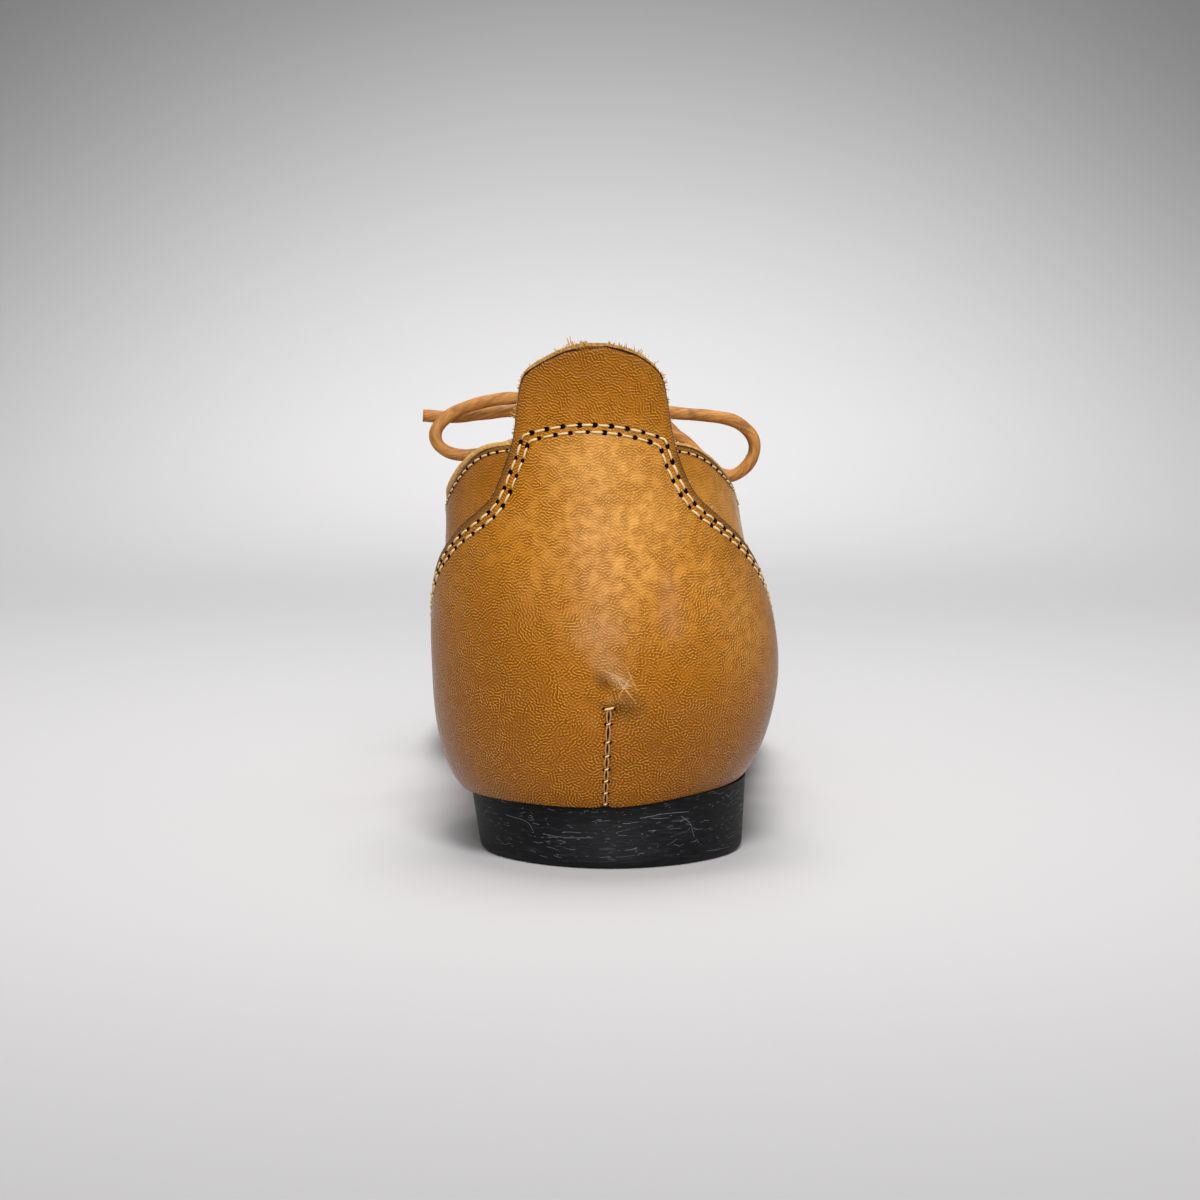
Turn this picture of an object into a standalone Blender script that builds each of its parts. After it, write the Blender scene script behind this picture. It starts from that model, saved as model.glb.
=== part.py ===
"""A plain open-laced shoe for the right foot, standing empty on its sole.

The toe points to +Y and the outer (lateral) side of the foot to +X. The tables are in millimetres:
y is counted forward from the back of the heel, z up from the floor, and x outward from the heel's middle
line. The leather is one family of surfaces over the last: a section q along the shoe, a height v up the
section, and a layer, the distance that a face stands out from the last's skin.
"""

import collections
import math

import bmesh
import bpy
import mathutils
import numpy as np

MM = 0.001

# Driving dimensions
SHOE_LENGTH = 279.0
HEEL_LINE_X = 1.5  # the heel's middle line lies this far to the lateral side of the shoe's own middle
LAYER_GAP = 0.6  # between two layers of leather
SEAT_GAP = 0.3  # between the sole and what stands on it
UPPER_WALL = 1.8  # vamp and lining together
QUARTER_WALL = 1.5
COUNTER_WALL = 1.7
TONGUE_WALL = 1.8
TONGUE_GAP = 1.1
INSOLE_WALL = 2.5
LACE_DIAMETER = 3.1
EYELET_DIAMETER = 3.6

# Faces of the layers, counted out from the skin of the upper
QUARTER_IN = LAYER_GAP
QUARTER_OUT = QUARTER_IN + QUARTER_WALL
COUNTER_IN = QUARTER_OUT + LAYER_GAP
COUNTER_OUT = COUNTER_IN + COUNTER_WALL
LACE_LAYER = QUARTER_OUT + 1.5 * LAYER_GAP + LACE_DIAMETER / 2

# Sections of the last, from the heel's back to the tip of the toe. Each is an upright half plane that
# stands on the spine and is turned from straight across: r is measured out from the spine in that plane.
# feather: where the leather meets the sole. wide: its widest line. edge: the collar, the throat or, with
# r = 0, the ridge of the vamp. arch: 0 for an upright wall, 1 for a dome. medial_in and medial_drop: how
# much narrower the inner side is, and how much lower its edge. lateral_lift: how much higher the leather
# meets the sole on the outer side.
Section = collections.namedtuple(
    "Section",
    "spine_x spine_y turn feather_r feather_z wide_r wide_z edge_r edge_z arch "
    "medial_in medial_drop lateral_lift",
)
SECTION_ROWS = [
    Section(0.0, 38.0, -90.0, 28.4, 13.3, 33.4, 38.0, 26.5, 88.0, 0.0, 0.0, 0.0, 0.0),  # heel back
    Section(0.0, 38.0, -45.0, 27.2, 13.6, 33.5, 40.0, 27.4, 87.0, 0.0, 0.0, 0.0, 1.6),  # heel quarter
    Section(0.0, 38.0, 0.0, 26.6, 13.8, 33.7, 42.0, 29.6, 80.0, 0.0, 0.0, 2.0, 2.4),  # heel side
    Section(0.5, 63.0, 0.0, 27.0, 13.5, 34.2, 41.0, 31.0, 76.5, 0.0, 0.8, 2.5, 2.0),  # ankle
    Section(1.2, 88.0, 0.0, 28.2, 12.2, 35.8, 37.0, 26.0, 79.5, 0.3, 2.6, 1.0, 1.0),  # collar front
    Section(1.2, 113.0, 0.0, 30.2, 10.4, 37.8, 33.0, 13.0, 88.0, 0.6, 3.4, 0.0, 0.3),  # throat top
    Section(0.5, 138.0, 0.0, 34.2, 8.2, 40.6, 28.0, 8.0, 80.0, 0.9, 2.6, 0.0, 0.0),  # throat middle
    Section(-0.5, 163.0, 0.0, 38.6, 7.2, 44.0, 24.0, 0.0, 68.0, 1.0, 0.8, 0.0, 0.0),  # vamp point
    Section(-1.5, 188.0, 0.0, 41.0, 7.1, 46.0, 21.0, 0.0, 58.0, 1.0, 0.0, 0.0, 0.0),  # ball
    Section(-3.4, 213.0, 0.0, 39.4, 7.8, 44.4, 20.5, 0.0, 50.0, 1.0, 0.0, 0.0, 0.0),  # toe joint
    Section(-6.0, 238.0, 0.0, 35.6, 10.2, 40.6, 22.0, 0.0, 45.0, 1.0, 0.0, 0.0, 0.0),  # toe side
    Section(-6.0, 238.0, 45.0, 36.2, 12.8, 41.0, 24.0, 0.0, 45.0, 1.0, 0.0, 0.0, 0.0),  # toe quarter
    Section(-6.0, 238.0, 90.0, 36.4, 15.0, 41.0, 26.0, 0.0, 45.0, 1.0, 0.0, 0.0, 0.0),  # toe tip
]
HEEL_BACK, HEEL_SIDE, COLLAR_FRONT, VAMP_POINT, TOE_SIDE, TOE_TIP = 0, 2, 4, 7, 10, 12
WALL_ROWS = [0.0, 0.33, 0.67, 1.0, 1.2, 1.4, 1.6, 1.7, 1.8, 1.9, 2.0]  # heights v of the rows of every wall
TUCK_ANGLE = math.radians(20.0)  # how far the leather has turned from level where it meets the sole
LEAN = 3.7  # how far the collar leans to the medial side
LEAN_FROM, LEAN_TO = 35.0, 85.0
FOOT_LEAN = 0.9  # how far the foot of the heel is pushed to the medial side
FOOT_LEAN_FROM, FOOT_LEAN_TO = 13.0, 45.0
TAB_FLARE = 0.006  # how the heel tab curls back above the collar, per millimetre of height

# The counter's edge: how many sections it reaches round from the heel's back on each side at each height
# v. Past the collar, at 2, it is the outline of the tab.
CounterRow = collections.namedtuple("CounterRow", "v medial lateral")
COUNTER_ROWS = [
    CounterRow(0.00, 3.90, 3.90),
    CounterRow(0.50, 3.50, 3.50),
    CounterRow(1.00, 2.80, 2.85),
    CounterRow(1.43, 1.93, 1.98),
    CounterRow(1.57, 1.68, 1.72),
    CounterRow(1.65, 1.42, 1.53),
    CounterRow(1.74, 1.05, 1.20),
    CounterRow(1.80, 0.90, 1.02),
    CounterRow(1.92, 0.78, 0.88),
    CounterRow(2.05, 0.68, 0.78),
    CounterRow(2.23, 0.61, 0.69),
    CounterRow(2.31, 0.55, 0.63),
    CounterRow(2.37, 0.33, 0.48),
    CounterRow(2.41, 0.10, 0.26),
]
TAB_FROM, TAB_THICK_FROM = 2.02, 2.05  # above the collar the tab takes the lining's thickness too

# The quarter's front edge: the section that it reaches at each height v
QuarterRow = collections.namedtuple("QuarterRow", "v front")
QUARTER_ROWS = [QuarterRow(0.0, 5.45), QuarterRow(1.0, 5.75), QuarterRow(1.6, 6.25), QuarterRow(2.0, 6.75)]
QUARTER_BACK = 0.02  # half the butt seam at the heel, in sections
LINING_SHOWS = {-1: 1.5, 1: 0.7}  # how far the lining stands above the quarter on each side

# The sole: its underside along the shoe
SoleRow = collections.namedtuple("SoleRow", "y z")
SOLE_ROWS = [
    SoleRow(0.0, 0.0),
    SoleRow(60.0, 0.0),  # heel breast, bottom
    SoleRow(63.0, 5.5),  # heel breast, top
    SoleRow(76.0, 6.2),
    SoleRow(110.0, 4.8),  # arch
    SoleRow(136.0, 1.2),
    SoleRow(150.0, 0.0),  # tread
    SoleRow(208.0, 0.0),
    SoleRow(238.0, 2.4),
    SoleRow(262.0, 6.2),
    SoleRow(280.0, 9.8),  # toe spring
]
SOLE_EDGE = 1.6  # radius of its bottom edge
INSOLE_INSET = 2.6

# The sole's plan in each section, from the heel's back to the tip of the toe: its top edge and its tread
SolePlan = collections.namedtuple("SolePlan", "top_r tread_r")
SOLE_PLAN = [
    SolePlan(30.0, 31.6),
    SolePlan(30.0, 29.8),
    SolePlan(30.2, 28.9),
    SolePlan(30.2, 28.9),
    SolePlan(30.0, 28.6),
    SolePlan(31.2, 29.4),
    SolePlan(35.2, 33.4),
    SolePlan(39.6, 37.8),
    SolePlan(42.0, 40.2),
    SolePlan(40.4, 38.6),
    SolePlan(36.6, 34.8),
    SolePlan(37.2, 35.4),
    SolePlan(37.4, 35.6),
]
TOP_SHIFT, TREAD_SHIFT = 0.5, 1.1  # how far the sole's top and tread lie to the lateral side of the last

# The tongue, under the throat: from below the vamp to a rounded top past the throat's end
TONGUE_FRONT, TONGUE_ROUND_FROM, TONGUE_TOP = 6.9, 4.85, 4.42
TONGUE_HALF_WIDTH = 21.0
TONGUE_TOP_HALF_WIDTH = 9.0

# The lace: the holes that each bar joins, from the throat's top down, and the routes of the bow
EYELET_SECTIONS = {"upper": 5.40, "middle": 5.82, "lower": 6.24}
EYELET_V = 1.80
BAR_RISE = 0.8  # how far a bar bows up over the tongue
KNOT_CENTRE = (-3.0, 117.0, 94.2)
KNOT_RADII = (7.2, 4.8, 5.9)
LOOP_MEDIAL = [
    (-10.0, 115.6, 97.8), (-17.0, 115.0, 98.3), (-25.0, 114.8, 98.2), (-32.0, 114.7, 96.9),
    (-38.2, 114.7, 94.4), (-41.9, 114.8, 90.6), (-41.7, 115.1, 87.1), (-38.4, 115.5, 84.7),
    (-33.0, 115.9, 84.2), (-26.0, 116.5, 85.6), (-18.0, 117.1, 89.0), (-10.2, 117.5, 92.2),
]
LOOP_LATERAL = [
    (4.2, 115.5, 96.0), (10.0, 114.9, 95.8), (18.0, 114.7, 94.6), (26.0, 114.7, 93.9),
    (32.2, 114.8, 92.6), (36.3, 115.0, 89.2), (37.1, 115.3, 85.3), (35.1, 115.5, 81.3),
    (31.0, 115.9, 79.0), (26.2, 116.3, 81.2), (19.8, 116.9, 87.6), (12.2, 117.3, 91.6), (4.4, 117.7, 92.4),
]
END_MEDIAL = [
    (-9.6, 120.7, 95.0), (-16.0, 120.9, 95.3), (-24.0, 120.7, 95.1), (-31.0, 120.5, 94.4),
    (-38.4, 120.1, 93.6), (-45.6, 119.5, 94.0),
]
END_LATERAL = [
    (2.4, 120.5, 96.4), (7.6, 123.4, 96.8), (12.4, 126.2, 94.2), (17.2, 127.8, 89.8),
    (22.6, 128.4, 84.0), (27.4, 128.6, 77.4), (31.0, 128.6, 70.4),
]


class SmoothTable:
    """A curve through each column of a table, which never swings past a row's value.

    It is smooth, apart from the straight columns, which run evenly from row to row.
    """

    def __init__(self, places, rows, straight=()):
        self.places = np.asarray(places, float)
        self.rows = np.asarray(rows, float)
        self.straight = list(straight)
        spans = np.diff(self.places)[:, None]
        steps = np.diff(self.rows, axis=0) / spans
        before, after = steps[:-1], steps[1:]
        same_way = before * after > 0
        early = spans[:-1] + 2.0 * spans[1:]
        late = 2.0 * spans[:-1] + spans[1:]
        weights = np.where(same_way, early * after + late * before, 1.0)
        self.slopes = np.zeros_like(self.rows)
        self.slopes[1:-1] = np.where(same_way, (early + late) * before * after / weights, 0.0)

    def __call__(self, place):
        last = len(self.places) - 2
        k = min(max(int(np.searchsorted(self.places, place)) - 1, 0), last)
        span = self.places[k + 1] - self.places[k]
        t = min(max((place - self.places[k]) / span, 0.0), 1.0)
        ease = t * t * (3.0 - 2.0 * t)
        leave = t * (1.0 - t) ** 2 * span
        arrive = t * t * (t - 1.0) * span
        found = self.rows[k] + (self.rows[k + 1] - self.rows[k]) * ease
        found += leave * self.slopes[k] + arrive * self.slopes[k + 1]
        for column in self.straight:
            found[column] = self.rows[k, column] + (self.rows[k + 1, column] - self.rows[k, column]) * t
        return found


EVEN_COLUMNS = [Section._fields.index(name) for name in ("spine_y", "turn")]
sections = SmoothTable(range(len(SECTION_ROWS)), SECTION_ROWS, straight=EVEN_COLUMNS)
counter_reach = SmoothTable([row.v for row in COUNTER_ROWS], [row[1:] for row in COUNTER_ROWS])
quarter_front = SmoothTable([row.v for row in QUARTER_ROWS], [[row.front] for row in QUARTER_ROWS])
sole_plan = SmoothTable(range(len(SOLE_PLAN)), SOLE_PLAN)
sole_underside = SmoothTable([row.y for row in SOLE_ROWS], [[row.z] for row in SOLE_ROWS])


def section(q):
    return Section(*sections(q))


def place(x, y, z):
    """A point of the tables in the shoe's own frame, in metres."""
    return ((x + HEEL_LINE_X) * MM, (y - SHOE_LENGTH / 2) * MM, z * MM)


def feather_height(row, side):
    """Where the leather meets the sole on one side of a section."""
    return row.feather_z + (row.lateral_lift if side > 0 else 0.0)


def profile(q, v, side, layer):
    """The distance out from the spine and the height of the leather at v: 0 sole, 1 widest, 2 edge."""
    row = section(q)
    inset = row.medial_in if side < 0 else 0.0
    drop = row.medial_drop if side < 0 else 0.0
    wide_r = row.wide_r - inset + layer
    if v < 1.0:
        foot_r = row.feather_r - inset + layer
        foot_z = feather_height(row, side)
        angle = TUCK_ANGLE + (math.pi / 2 - TUCK_ANGLE) * v
        r = wide_r - (wide_r - foot_r) * (1.0 - math.sin(angle)) / (1.0 - math.sin(TUCK_ANGLE))
        z = row.wide_z - (row.wide_z - foot_z) * math.cos(angle) / math.cos(TUCK_ANGLE)
        return r, z
    edge_r = row.edge_r + (1.0 - row.arch) * layer
    edge_z = row.edge_z - drop + row.arch * layer
    up = v - 1.0
    rise = (1.0 - row.arch) * up + row.arch * math.sin(min(up, 1.0) * math.pi / 2)
    wall = 0.5 + 0.5 * math.cos(min(rise, 1.0) * math.pi)
    dome = math.sqrt(max(0.0, 1.0 - rise * rise))
    r = edge_r + (wide_r - edge_r) * ((1.0 - row.arch) * wall + row.arch * dome)
    z = row.wide_z + (edge_z - row.wide_z) * rise
    r += TAB_FLARE * max(0.0, z - edge_z) ** 2
    return r, z


def ease(t):
    """A smooth step from 0 to 1."""
    t = min(max(t, 0.0), 1.0)
    return t * t * (3.0 - 2.0 * t)


def lean_at(row, z):
    """How far a section has leant to the medial side at a height."""
    collar = LEAN * ease((z - LEAN_FROM) / (LEAN_TO - LEAN_FROM))
    foot = FOOT_LEAN * (1.0 - ease((z - FOOT_LEAN_FROM) / (FOOT_LEAN_TO - FOOT_LEAN_FROM)))
    return (1.0 - row.arch) * (collar + foot)


def leather(q, v, side, layer):
    """A point of the leather, layer millimetres out from the upper's skin."""
    row = section(q)
    r, z = profile(q, v, side, layer)
    turn = math.radians(row.turn)
    x = row.spine_x + side * r * math.cos(turn) - lean_at(row, z)
    return place(x, row.spine_y + r * math.sin(turn), z)


def side_of(number):
    return -1 if number < 0 else 1


def spread(stops, counts):
    """Numbers from the first stop to the last, with a count of steps between each pair of stops."""
    runs = [np.linspace(a, b, n, endpoint=False) for a, b, n in zip(stops, stops[1:], counts)]
    return np.append(np.concatenate(runs), stops[-1])


def both_sides(numbers):
    return np.concatenate([-numbers[:0:-1], numbers])


def material(name, colour, roughness):
    made = bpy.data.materials.new(name)
    made.use_nodes = True
    shader = made.node_tree.nodes["Principled BSDF"]
    shader.inputs["Base Color"].default_value = (*colour, 1.0)
    shader.inputs["Roughness"].default_value = roughness
    shader.inputs["Metallic"].default_value = 0.0
    return made


def finish(obj, look):
    obj.data.materials.append(look)
    shoe.objects.link(obj)
    return obj


def wall(name, columns, rows, point, look):
    """A closed wall from point(column, row, 0), its inner face, to point(column, row, 1), its outer one."""
    bm = bmesh.new()
    column_layer = bm.verts.layers.float.new("column")
    row_layer = bm.verts.layers.float.new("row")
    last_column, last_row = len(columns) - 1, len(rows) - 1
    grid = bmesh.ops.create_grid(bm, x_segments=last_column, y_segments=last_row, size=1.0)
    for vert in grid["verts"]:
        column = columns[round((vert.co.x + 1.0) / 2.0 * last_column)]
        row = rows[round((vert.co.y + 1.0) / 2.0 * last_row)]
        vert[column_layer] = column
        vert[row_layer] = row
        vert.co = point(column, row, 0)
    bmesh.ops.remove_doubles(bm, verts=bm.verts, dist=1e-6)
    inner = bm.verts[:] + bm.edges[:] + bm.faces[:]
    outer = bmesh.ops.extrude_face_region(bm, geom=inner, use_keep_orig=True)
    for item in outer["geom"]:
        if isinstance(item, bmesh.types.BMVert):
            item.co = point(item[column_layer], item[row_layer], 1)
    bmesh.ops.triangulate(bm, faces=bm.faces, quad_method="SHORT_EDGE")
    bmesh.ops.recalc_face_normals(bm, faces=bm.faces)
    mesh = bpy.data.meshes.new(name)
    bm.to_mesh(mesh)
    bm.free()
    mesh.shade_smooth()
    mesh.set_sharp_from_angle(angle=math.radians(40.0))
    return finish(bpy.data.objects.new(name, mesh), look)


def make_upper(look):
    """Vamp and lining: one hollow wall round the whole foot, welded along the vamp's ridge and the toe."""

    def point(q, v, face):
        return leather(abs(q), v, side_of(q), 0.0 if face else -UPPER_WALL)

    stops = [HEEL_BACK, HEEL_SIDE, COLLAR_FRONT, VAMP_POINT, TOE_SIDE, TOE_TIP]
    columns = both_sides(spread(stops, [7, 4, 10, 5, 5]))
    return wall("upper", columns, WALL_ROWS, point, look)


def make_quarter(name, side, look):
    """A side panel from the heel's back seam to the open front edge of the lacing."""

    def point(share, v, face):
        q = QUARTER_BACK + (quarter_front(v)[0] - QUARTER_BACK) * share
        row = section(q)
        lower = LINING_SHOWS[side] / (row.edge_z - row.wide_z) * (v >= WALL_ROWS[-1])
        return leather(q, v - lower, side, QUARTER_OUT if face else QUARTER_IN)

    return wall(name, spread([0.0, 0.32, 1.0], [8, 12]), WALL_ROWS, point, look)


def make_counter(look):
    """The heel piece with its tall tab, over the quarters."""

    def point(share, v, face):
        q = abs(share) * counter_reach(v)[0 if share < 0 else 1]
        thicker = min(max((v - TAB_FROM) / (TAB_THICK_FROM - TAB_FROM), 0.0), 1.0)
        inner = COUNTER_IN + (QUARTER_IN - COUNTER_IN) * thicker
        return leather(q, v, side_of(share), COUNTER_OUT if face else inner)

    tab_rows = spread([TAB_FROM, TAB_THICK_FROM, 2.25, COUNTER_ROWS[-1].v], [1, 2, 4])
    columns = both_sides(spread([0.0, 0.55, 1.0], [7, 4]))
    return wall("counter", columns, [*WALL_ROWS, *tab_rows], point, look)


def footprint(w, q, reach):
    """A point of the floor plan: w runs from the medial side, -1, across the spine to the lateral side, 1."""
    row = section(q)
    inset = row.medial_in if w < 0 else 0.0
    r = abs(w) * (reach - inset)
    turn = math.radians(row.turn)
    return row.spine_x + side_of(w) * r * math.cos(turn), row.spine_y + r * math.sin(turn), r


def seat_height(w, q, r):
    """The height of the sole's top face, which meets the feather line all round."""
    level = section(min(max(q, HEEL_SIDE), TOE_SIDE)).feather_z
    row = section(q)
    edge = feather_height(row, side_of(w))
    return level + (edge - level) * min(r / row.feather_r, 1.0) ** 2


def section_at(y):
    """The section that stands straight across the shoe at y."""
    return float(np.interp(y, [row.spine_y for row in SECTION_ROWS[2:11]], range(2, 11)))


def make_outsole(look):
    """The moulded sole: flat heel and tread, arch, toe spring and a rounded bottom edge."""

    def point(w, q, face):
        top_r, tread_r = sole_plan(q)
        if face:
            x, y, r = footprint(w, q, top_r)
            return place(x + TOP_SHIFT, y, seat_height(w, q, r) - SEAT_GAP)
        x, y, r = footprint(w, q, tread_r)
        full = footprint(side_of(w), q, tread_r)[2]
        into = max(0.0, SOLE_EDGE - (full - r))
        return place(x + TREAD_SHIFT, y, sole_underside(y)[0] + SOLE_EDGE - math.sqrt(SOLE_EDGE**2 - into**2))

    across = both_sides(np.array([0.0, 0.5, 0.85, 0.95, 0.985, 1.0]))
    breast = [section_at(row.y) for row in SOLE_ROWS[1:3]]
    stops = [HEEL_BACK, HEEL_SIDE, *breast, COLLAR_FRONT, TOE_SIDE, TOE_TIP]
    return wall("outsole", across, spread(stops, [7, 2, 1, 3, 11, 6]), point, look)


def make_insole(look):
    def point(w, q, face):
        row = section(q)
        x, y, r = footprint(w, q, row.feather_r - INSOLE_INSET)
        z = seat_height(w, q, r)
        return place(x - lean_at(row, z), y, z + face * INSOLE_WALL)

    across = both_sides(np.array([0.0, 0.55, 1.0]))
    stops = [HEEL_BACK, HEEL_SIDE, TOE_SIDE, TOE_TIP]
    return wall("insole", across, spread(stops, [7, 14, 7]), point, look)


def inside_height(q, side, r, layer):
    """How high the inside of the upper is over a point r from the spine, bridging the open throat."""
    edge_r, edge_z = profile(q, 2.0, side, layer)
    if r < edge_r:
        near_r, near_z = profile(q, 1.95, side, layer)
        slope = (edge_z - near_z) / (near_r - edge_r)
        return edge_z + slope * (edge_r**2 - r**2) / (2.0 * edge_r)
    low, high = 1.0, 2.0
    for _ in range(30):
        middle = (low + high) / 2.0
        if profile(q, middle, side, layer)[0] > r:
            low = middle
        else:
            high = middle
    return profile(q, low, side, layer)[1]


def make_tongue(look):
    """A sheet along the inside of the throat, with a rounded top."""

    def point(across, q, face):
        layer = -UPPER_WALL - TONGUE_GAP - (0.0 if face else TONGUE_WALL)
        past = max(0.0, (TONGUE_ROUND_FROM - q) / (TONGUE_ROUND_FROM - TONGUE_TOP))
        narrowing = 1.0 - math.sqrt(1.0 - min(past, 1.0) ** 2)
        half = TONGUE_HALF_WIDTH + (TONGUE_TOP_HALF_WIDTH - TONGUE_HALF_WIDTH) * narrowing
        row = section(q)
        z = inside_height(q, side_of(across), abs(across) * half, layer)
        return place(row.spine_x + across * half - lean_at(row, z), row.spine_y, z)

    along = spread([TONGUE_TOP, TONGUE_ROUND_FROM, TONGUE_FRONT], [5, 9])
    return wall("tongue", np.linspace(-1.0, 1.0, 13), along, point, look)


def route_points(route, steps):
    """Points of a smooth curve through a route's own points."""
    route = np.asarray(route, float)
    ends = np.vstack([2 * route[0] - route[1], route, 2 * route[-1] - route[-2]])
    made = []
    for before, a, b, after in zip(ends, ends[1:], ends[2:], ends[3:]):
        for t in np.linspace(0.0, 1.0, steps, endpoint=False):
            bend = (2 * before - 5 * a + 4 * b - after) * t * t + (3 * a - before - 3 * b + after) * t**3
            made.append(a + 0.5 * ((b - before) * t + bend))
    made.append(route[-1])
    return made


def cord(name, points):
    """A round tube along points in metres."""
    curve = bpy.data.curves.new(name, "CURVE")
    curve.dimensions = "3D"
    curve.bevel_depth = LACE_DIAMETER / 2 * MM
    curve.bevel_resolution = 2
    curve.use_fill_caps = True
    spline = curve.splines.new("POLY")
    spline.points.add(len(points) - 1)
    for target, point in zip(spline.points, points):
        target.co = (*point, 1.0)
    return bpy.data.objects.new(name, curve)


def make_bow_cord(name, route, look):
    points = [place(*point) for point in route_points(route, 2)]
    return finish(cord(name, points), look)


def make_knot(look):
    bpy.ops.mesh.primitive_uv_sphere_add(segments=16, ring_count=10, radius=MM, location=place(*KNOT_CENTRE))
    knot = bpy.context.object
    knot.name = "lace_knot"
    knot.scale = KNOT_RADII
    bpy.ops.object.transform_apply(location=False, rotation=False, scale=True)
    knot.data.shade_smooth()
    for collection in list(knot.users_collection):
        collection.objects.unlink(knot)
    return finish(knot, look)


def keep_as_helper(obj):
    helpers.objects.link(obj)
    obj.hide_render = True
    obj.display_type = "WIRE"
    return obj


def cut(obj, other):
    modifier = obj.modifiers.new(other.name, "BOOLEAN")
    modifier.operation = "DIFFERENCE"
    modifier.solver = "EXACT"
    modifier.object = other


def bar_route(q):
    """From a hole over both edges of the throat to the hole across from it."""

    def at(v, side):
        return np.array(leather(q, v, side, LACE_LAYER))

    middle = (at(2.0, -1) + at(2.0, 1)) / 2.0 + np.array([0.0, 0.0, BAR_RISE * MM])
    heights = [EYELET_V, (EYELET_V + 2.0) / 2.0, 2.0]
    medial = [at(v, -1) for v in heights]
    lateral = [at(v, 1) for v in reversed(heights)]
    return [*medial, middle, *lateral]


def make_bars(look):
    """The lace over the throat: a straight bar between each pair of holes."""
    for name, q in EYELET_SECTIONS.items():
        finish(cord(f"lace_bar_{name}", route_points(bar_route(q), 2)), look)


def punch_eyelets(upper, quarters):
    """Holes for the lace through each quarter and the upper behind it."""
    for side, quarter in quarters.items():
        for hole, q in EYELET_SECTIONS.items():
            inside = np.array(leather(q, EYELET_V, side, -2.0 * UPPER_WALL))
            outside = np.array(leather(q, EYELET_V, side, 2.0 * QUARTER_OUT))
            bpy.ops.mesh.primitive_cylinder_add(
                vertices=12,
                radius=EYELET_DIAMETER / 2 * MM,
                depth=float(np.linalg.norm(outside - inside)),
                location=(inside + outside) / 2.0,
            )
            punch = bpy.context.object
            punch.name = f"eyelet_punch_{quarter.name}_{hole}"
            punch.rotation_mode = "QUATERNION"
            punch.rotation_quaternion = mathutils.Vector(outside - inside).to_track_quat("Z", "Y")
            for collection in list(punch.users_collection):
                collection.objects.unlink(punch)
            keep_as_helper(punch)
            cut(quarter, punch)
            cut(upper, punch)


for old in list(bpy.data.objects):
    bpy.data.objects.remove(old)
shoe = bpy.data.collections.new("lace_up_shoe")
helpers = bpy.data.collections.new("lace_up_shoe_cutters")
bpy.context.scene.collection.children.link(shoe)
bpy.context.scene.collection.children.link(helpers)

tan_leather = material("tan_leather", (0.43, 0.18, 0.035), 0.5)
lining_leather = material("lining_leather", (0.60, 0.36, 0.15), 0.7)
lace_leather = material("lace_leather", (0.55, 0.26, 0.09), 0.6)
black_rubber = material("black_rubber", (0.012, 0.012, 0.014), 0.6)
footbed_leather = material("footbed_leather", (0.52, 0.34, 0.17), 0.7)

make_outsole(black_rubber)
make_insole(footbed_leather)
upper_solid = make_upper(lining_leather)
quarter_solids = {
    -1: make_quarter("quarter_medial", -1, tan_leather),
    1: make_quarter("quarter_lateral", 1, tan_leather),
}
make_counter(tan_leather)
make_tongue(tan_leather)
punch_eyelets(upper_solid, quarter_solids)
make_bars(lace_leather)
make_knot(lace_leather)
make_bow_cord("lace_loop_medial", LOOP_MEDIAL, lace_leather)
make_bow_cord("lace_loop_lateral", LOOP_LATERAL, lace_leather)
make_bow_cord("lace_end_medial", END_MEDIAL, lace_leather)
make_bow_cord("lace_end_lateral", END_LATERAL, lace_leather)
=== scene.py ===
"""The looks of a honey-tan lace-up shoe for the right foot, seen from behind and a little above.

The toe points to +Y and the outer (lateral) side of the foot to +X. The tables and the functions that read
them repeat the solids' own, in millimetres: y is counted forward from the back of the heel, z up from the
floor, and x outward from the heel's middle line. A point of the leather is named by a section s along the
shoe, below 0 on the medial side, a height v up the section, and a layer out from the upper's skin.
"""

import collections
import math

import bmesh
import bpy
import mathutils
import numpy as np
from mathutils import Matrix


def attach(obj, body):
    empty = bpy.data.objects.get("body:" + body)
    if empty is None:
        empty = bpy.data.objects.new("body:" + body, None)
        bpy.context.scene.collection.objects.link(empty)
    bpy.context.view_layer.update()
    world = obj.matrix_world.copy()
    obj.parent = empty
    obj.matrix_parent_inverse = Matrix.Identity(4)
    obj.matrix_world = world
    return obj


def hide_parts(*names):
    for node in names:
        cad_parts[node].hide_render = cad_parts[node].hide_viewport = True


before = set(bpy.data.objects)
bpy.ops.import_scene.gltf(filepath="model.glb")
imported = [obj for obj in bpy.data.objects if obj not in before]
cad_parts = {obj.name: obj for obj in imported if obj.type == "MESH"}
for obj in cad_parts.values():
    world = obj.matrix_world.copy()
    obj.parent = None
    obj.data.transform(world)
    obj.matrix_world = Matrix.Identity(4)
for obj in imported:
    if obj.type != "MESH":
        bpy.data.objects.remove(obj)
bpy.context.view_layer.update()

MM = 0.001

# The shoe's driving dimensions
SHOE_LENGTH = 279.0
HEEL_LINE_X = 1.5
LAYER_GAP = 0.6
SEAT_GAP = 0.3
UPPER_WALL = 1.8
QUARTER_WALL = 1.5
COUNTER_WALL = 1.7
TONGUE_WALL = 1.8
TONGUE_GAP = 1.1
INSOLE_WALL = 2.5
LACE_DIAMETER = 3.1
EYELET_DIAMETER = 3.6

QUARTER_IN = LAYER_GAP
QUARTER_OUT = QUARTER_IN + QUARTER_WALL
COUNTER_IN = QUARTER_OUT + LAYER_GAP
COUNTER_OUT = COUNTER_IN + COUNTER_WALL
LACE_LAYER = QUARTER_OUT + 1.5 * LAYER_GAP + LACE_DIAMETER / 2

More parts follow.
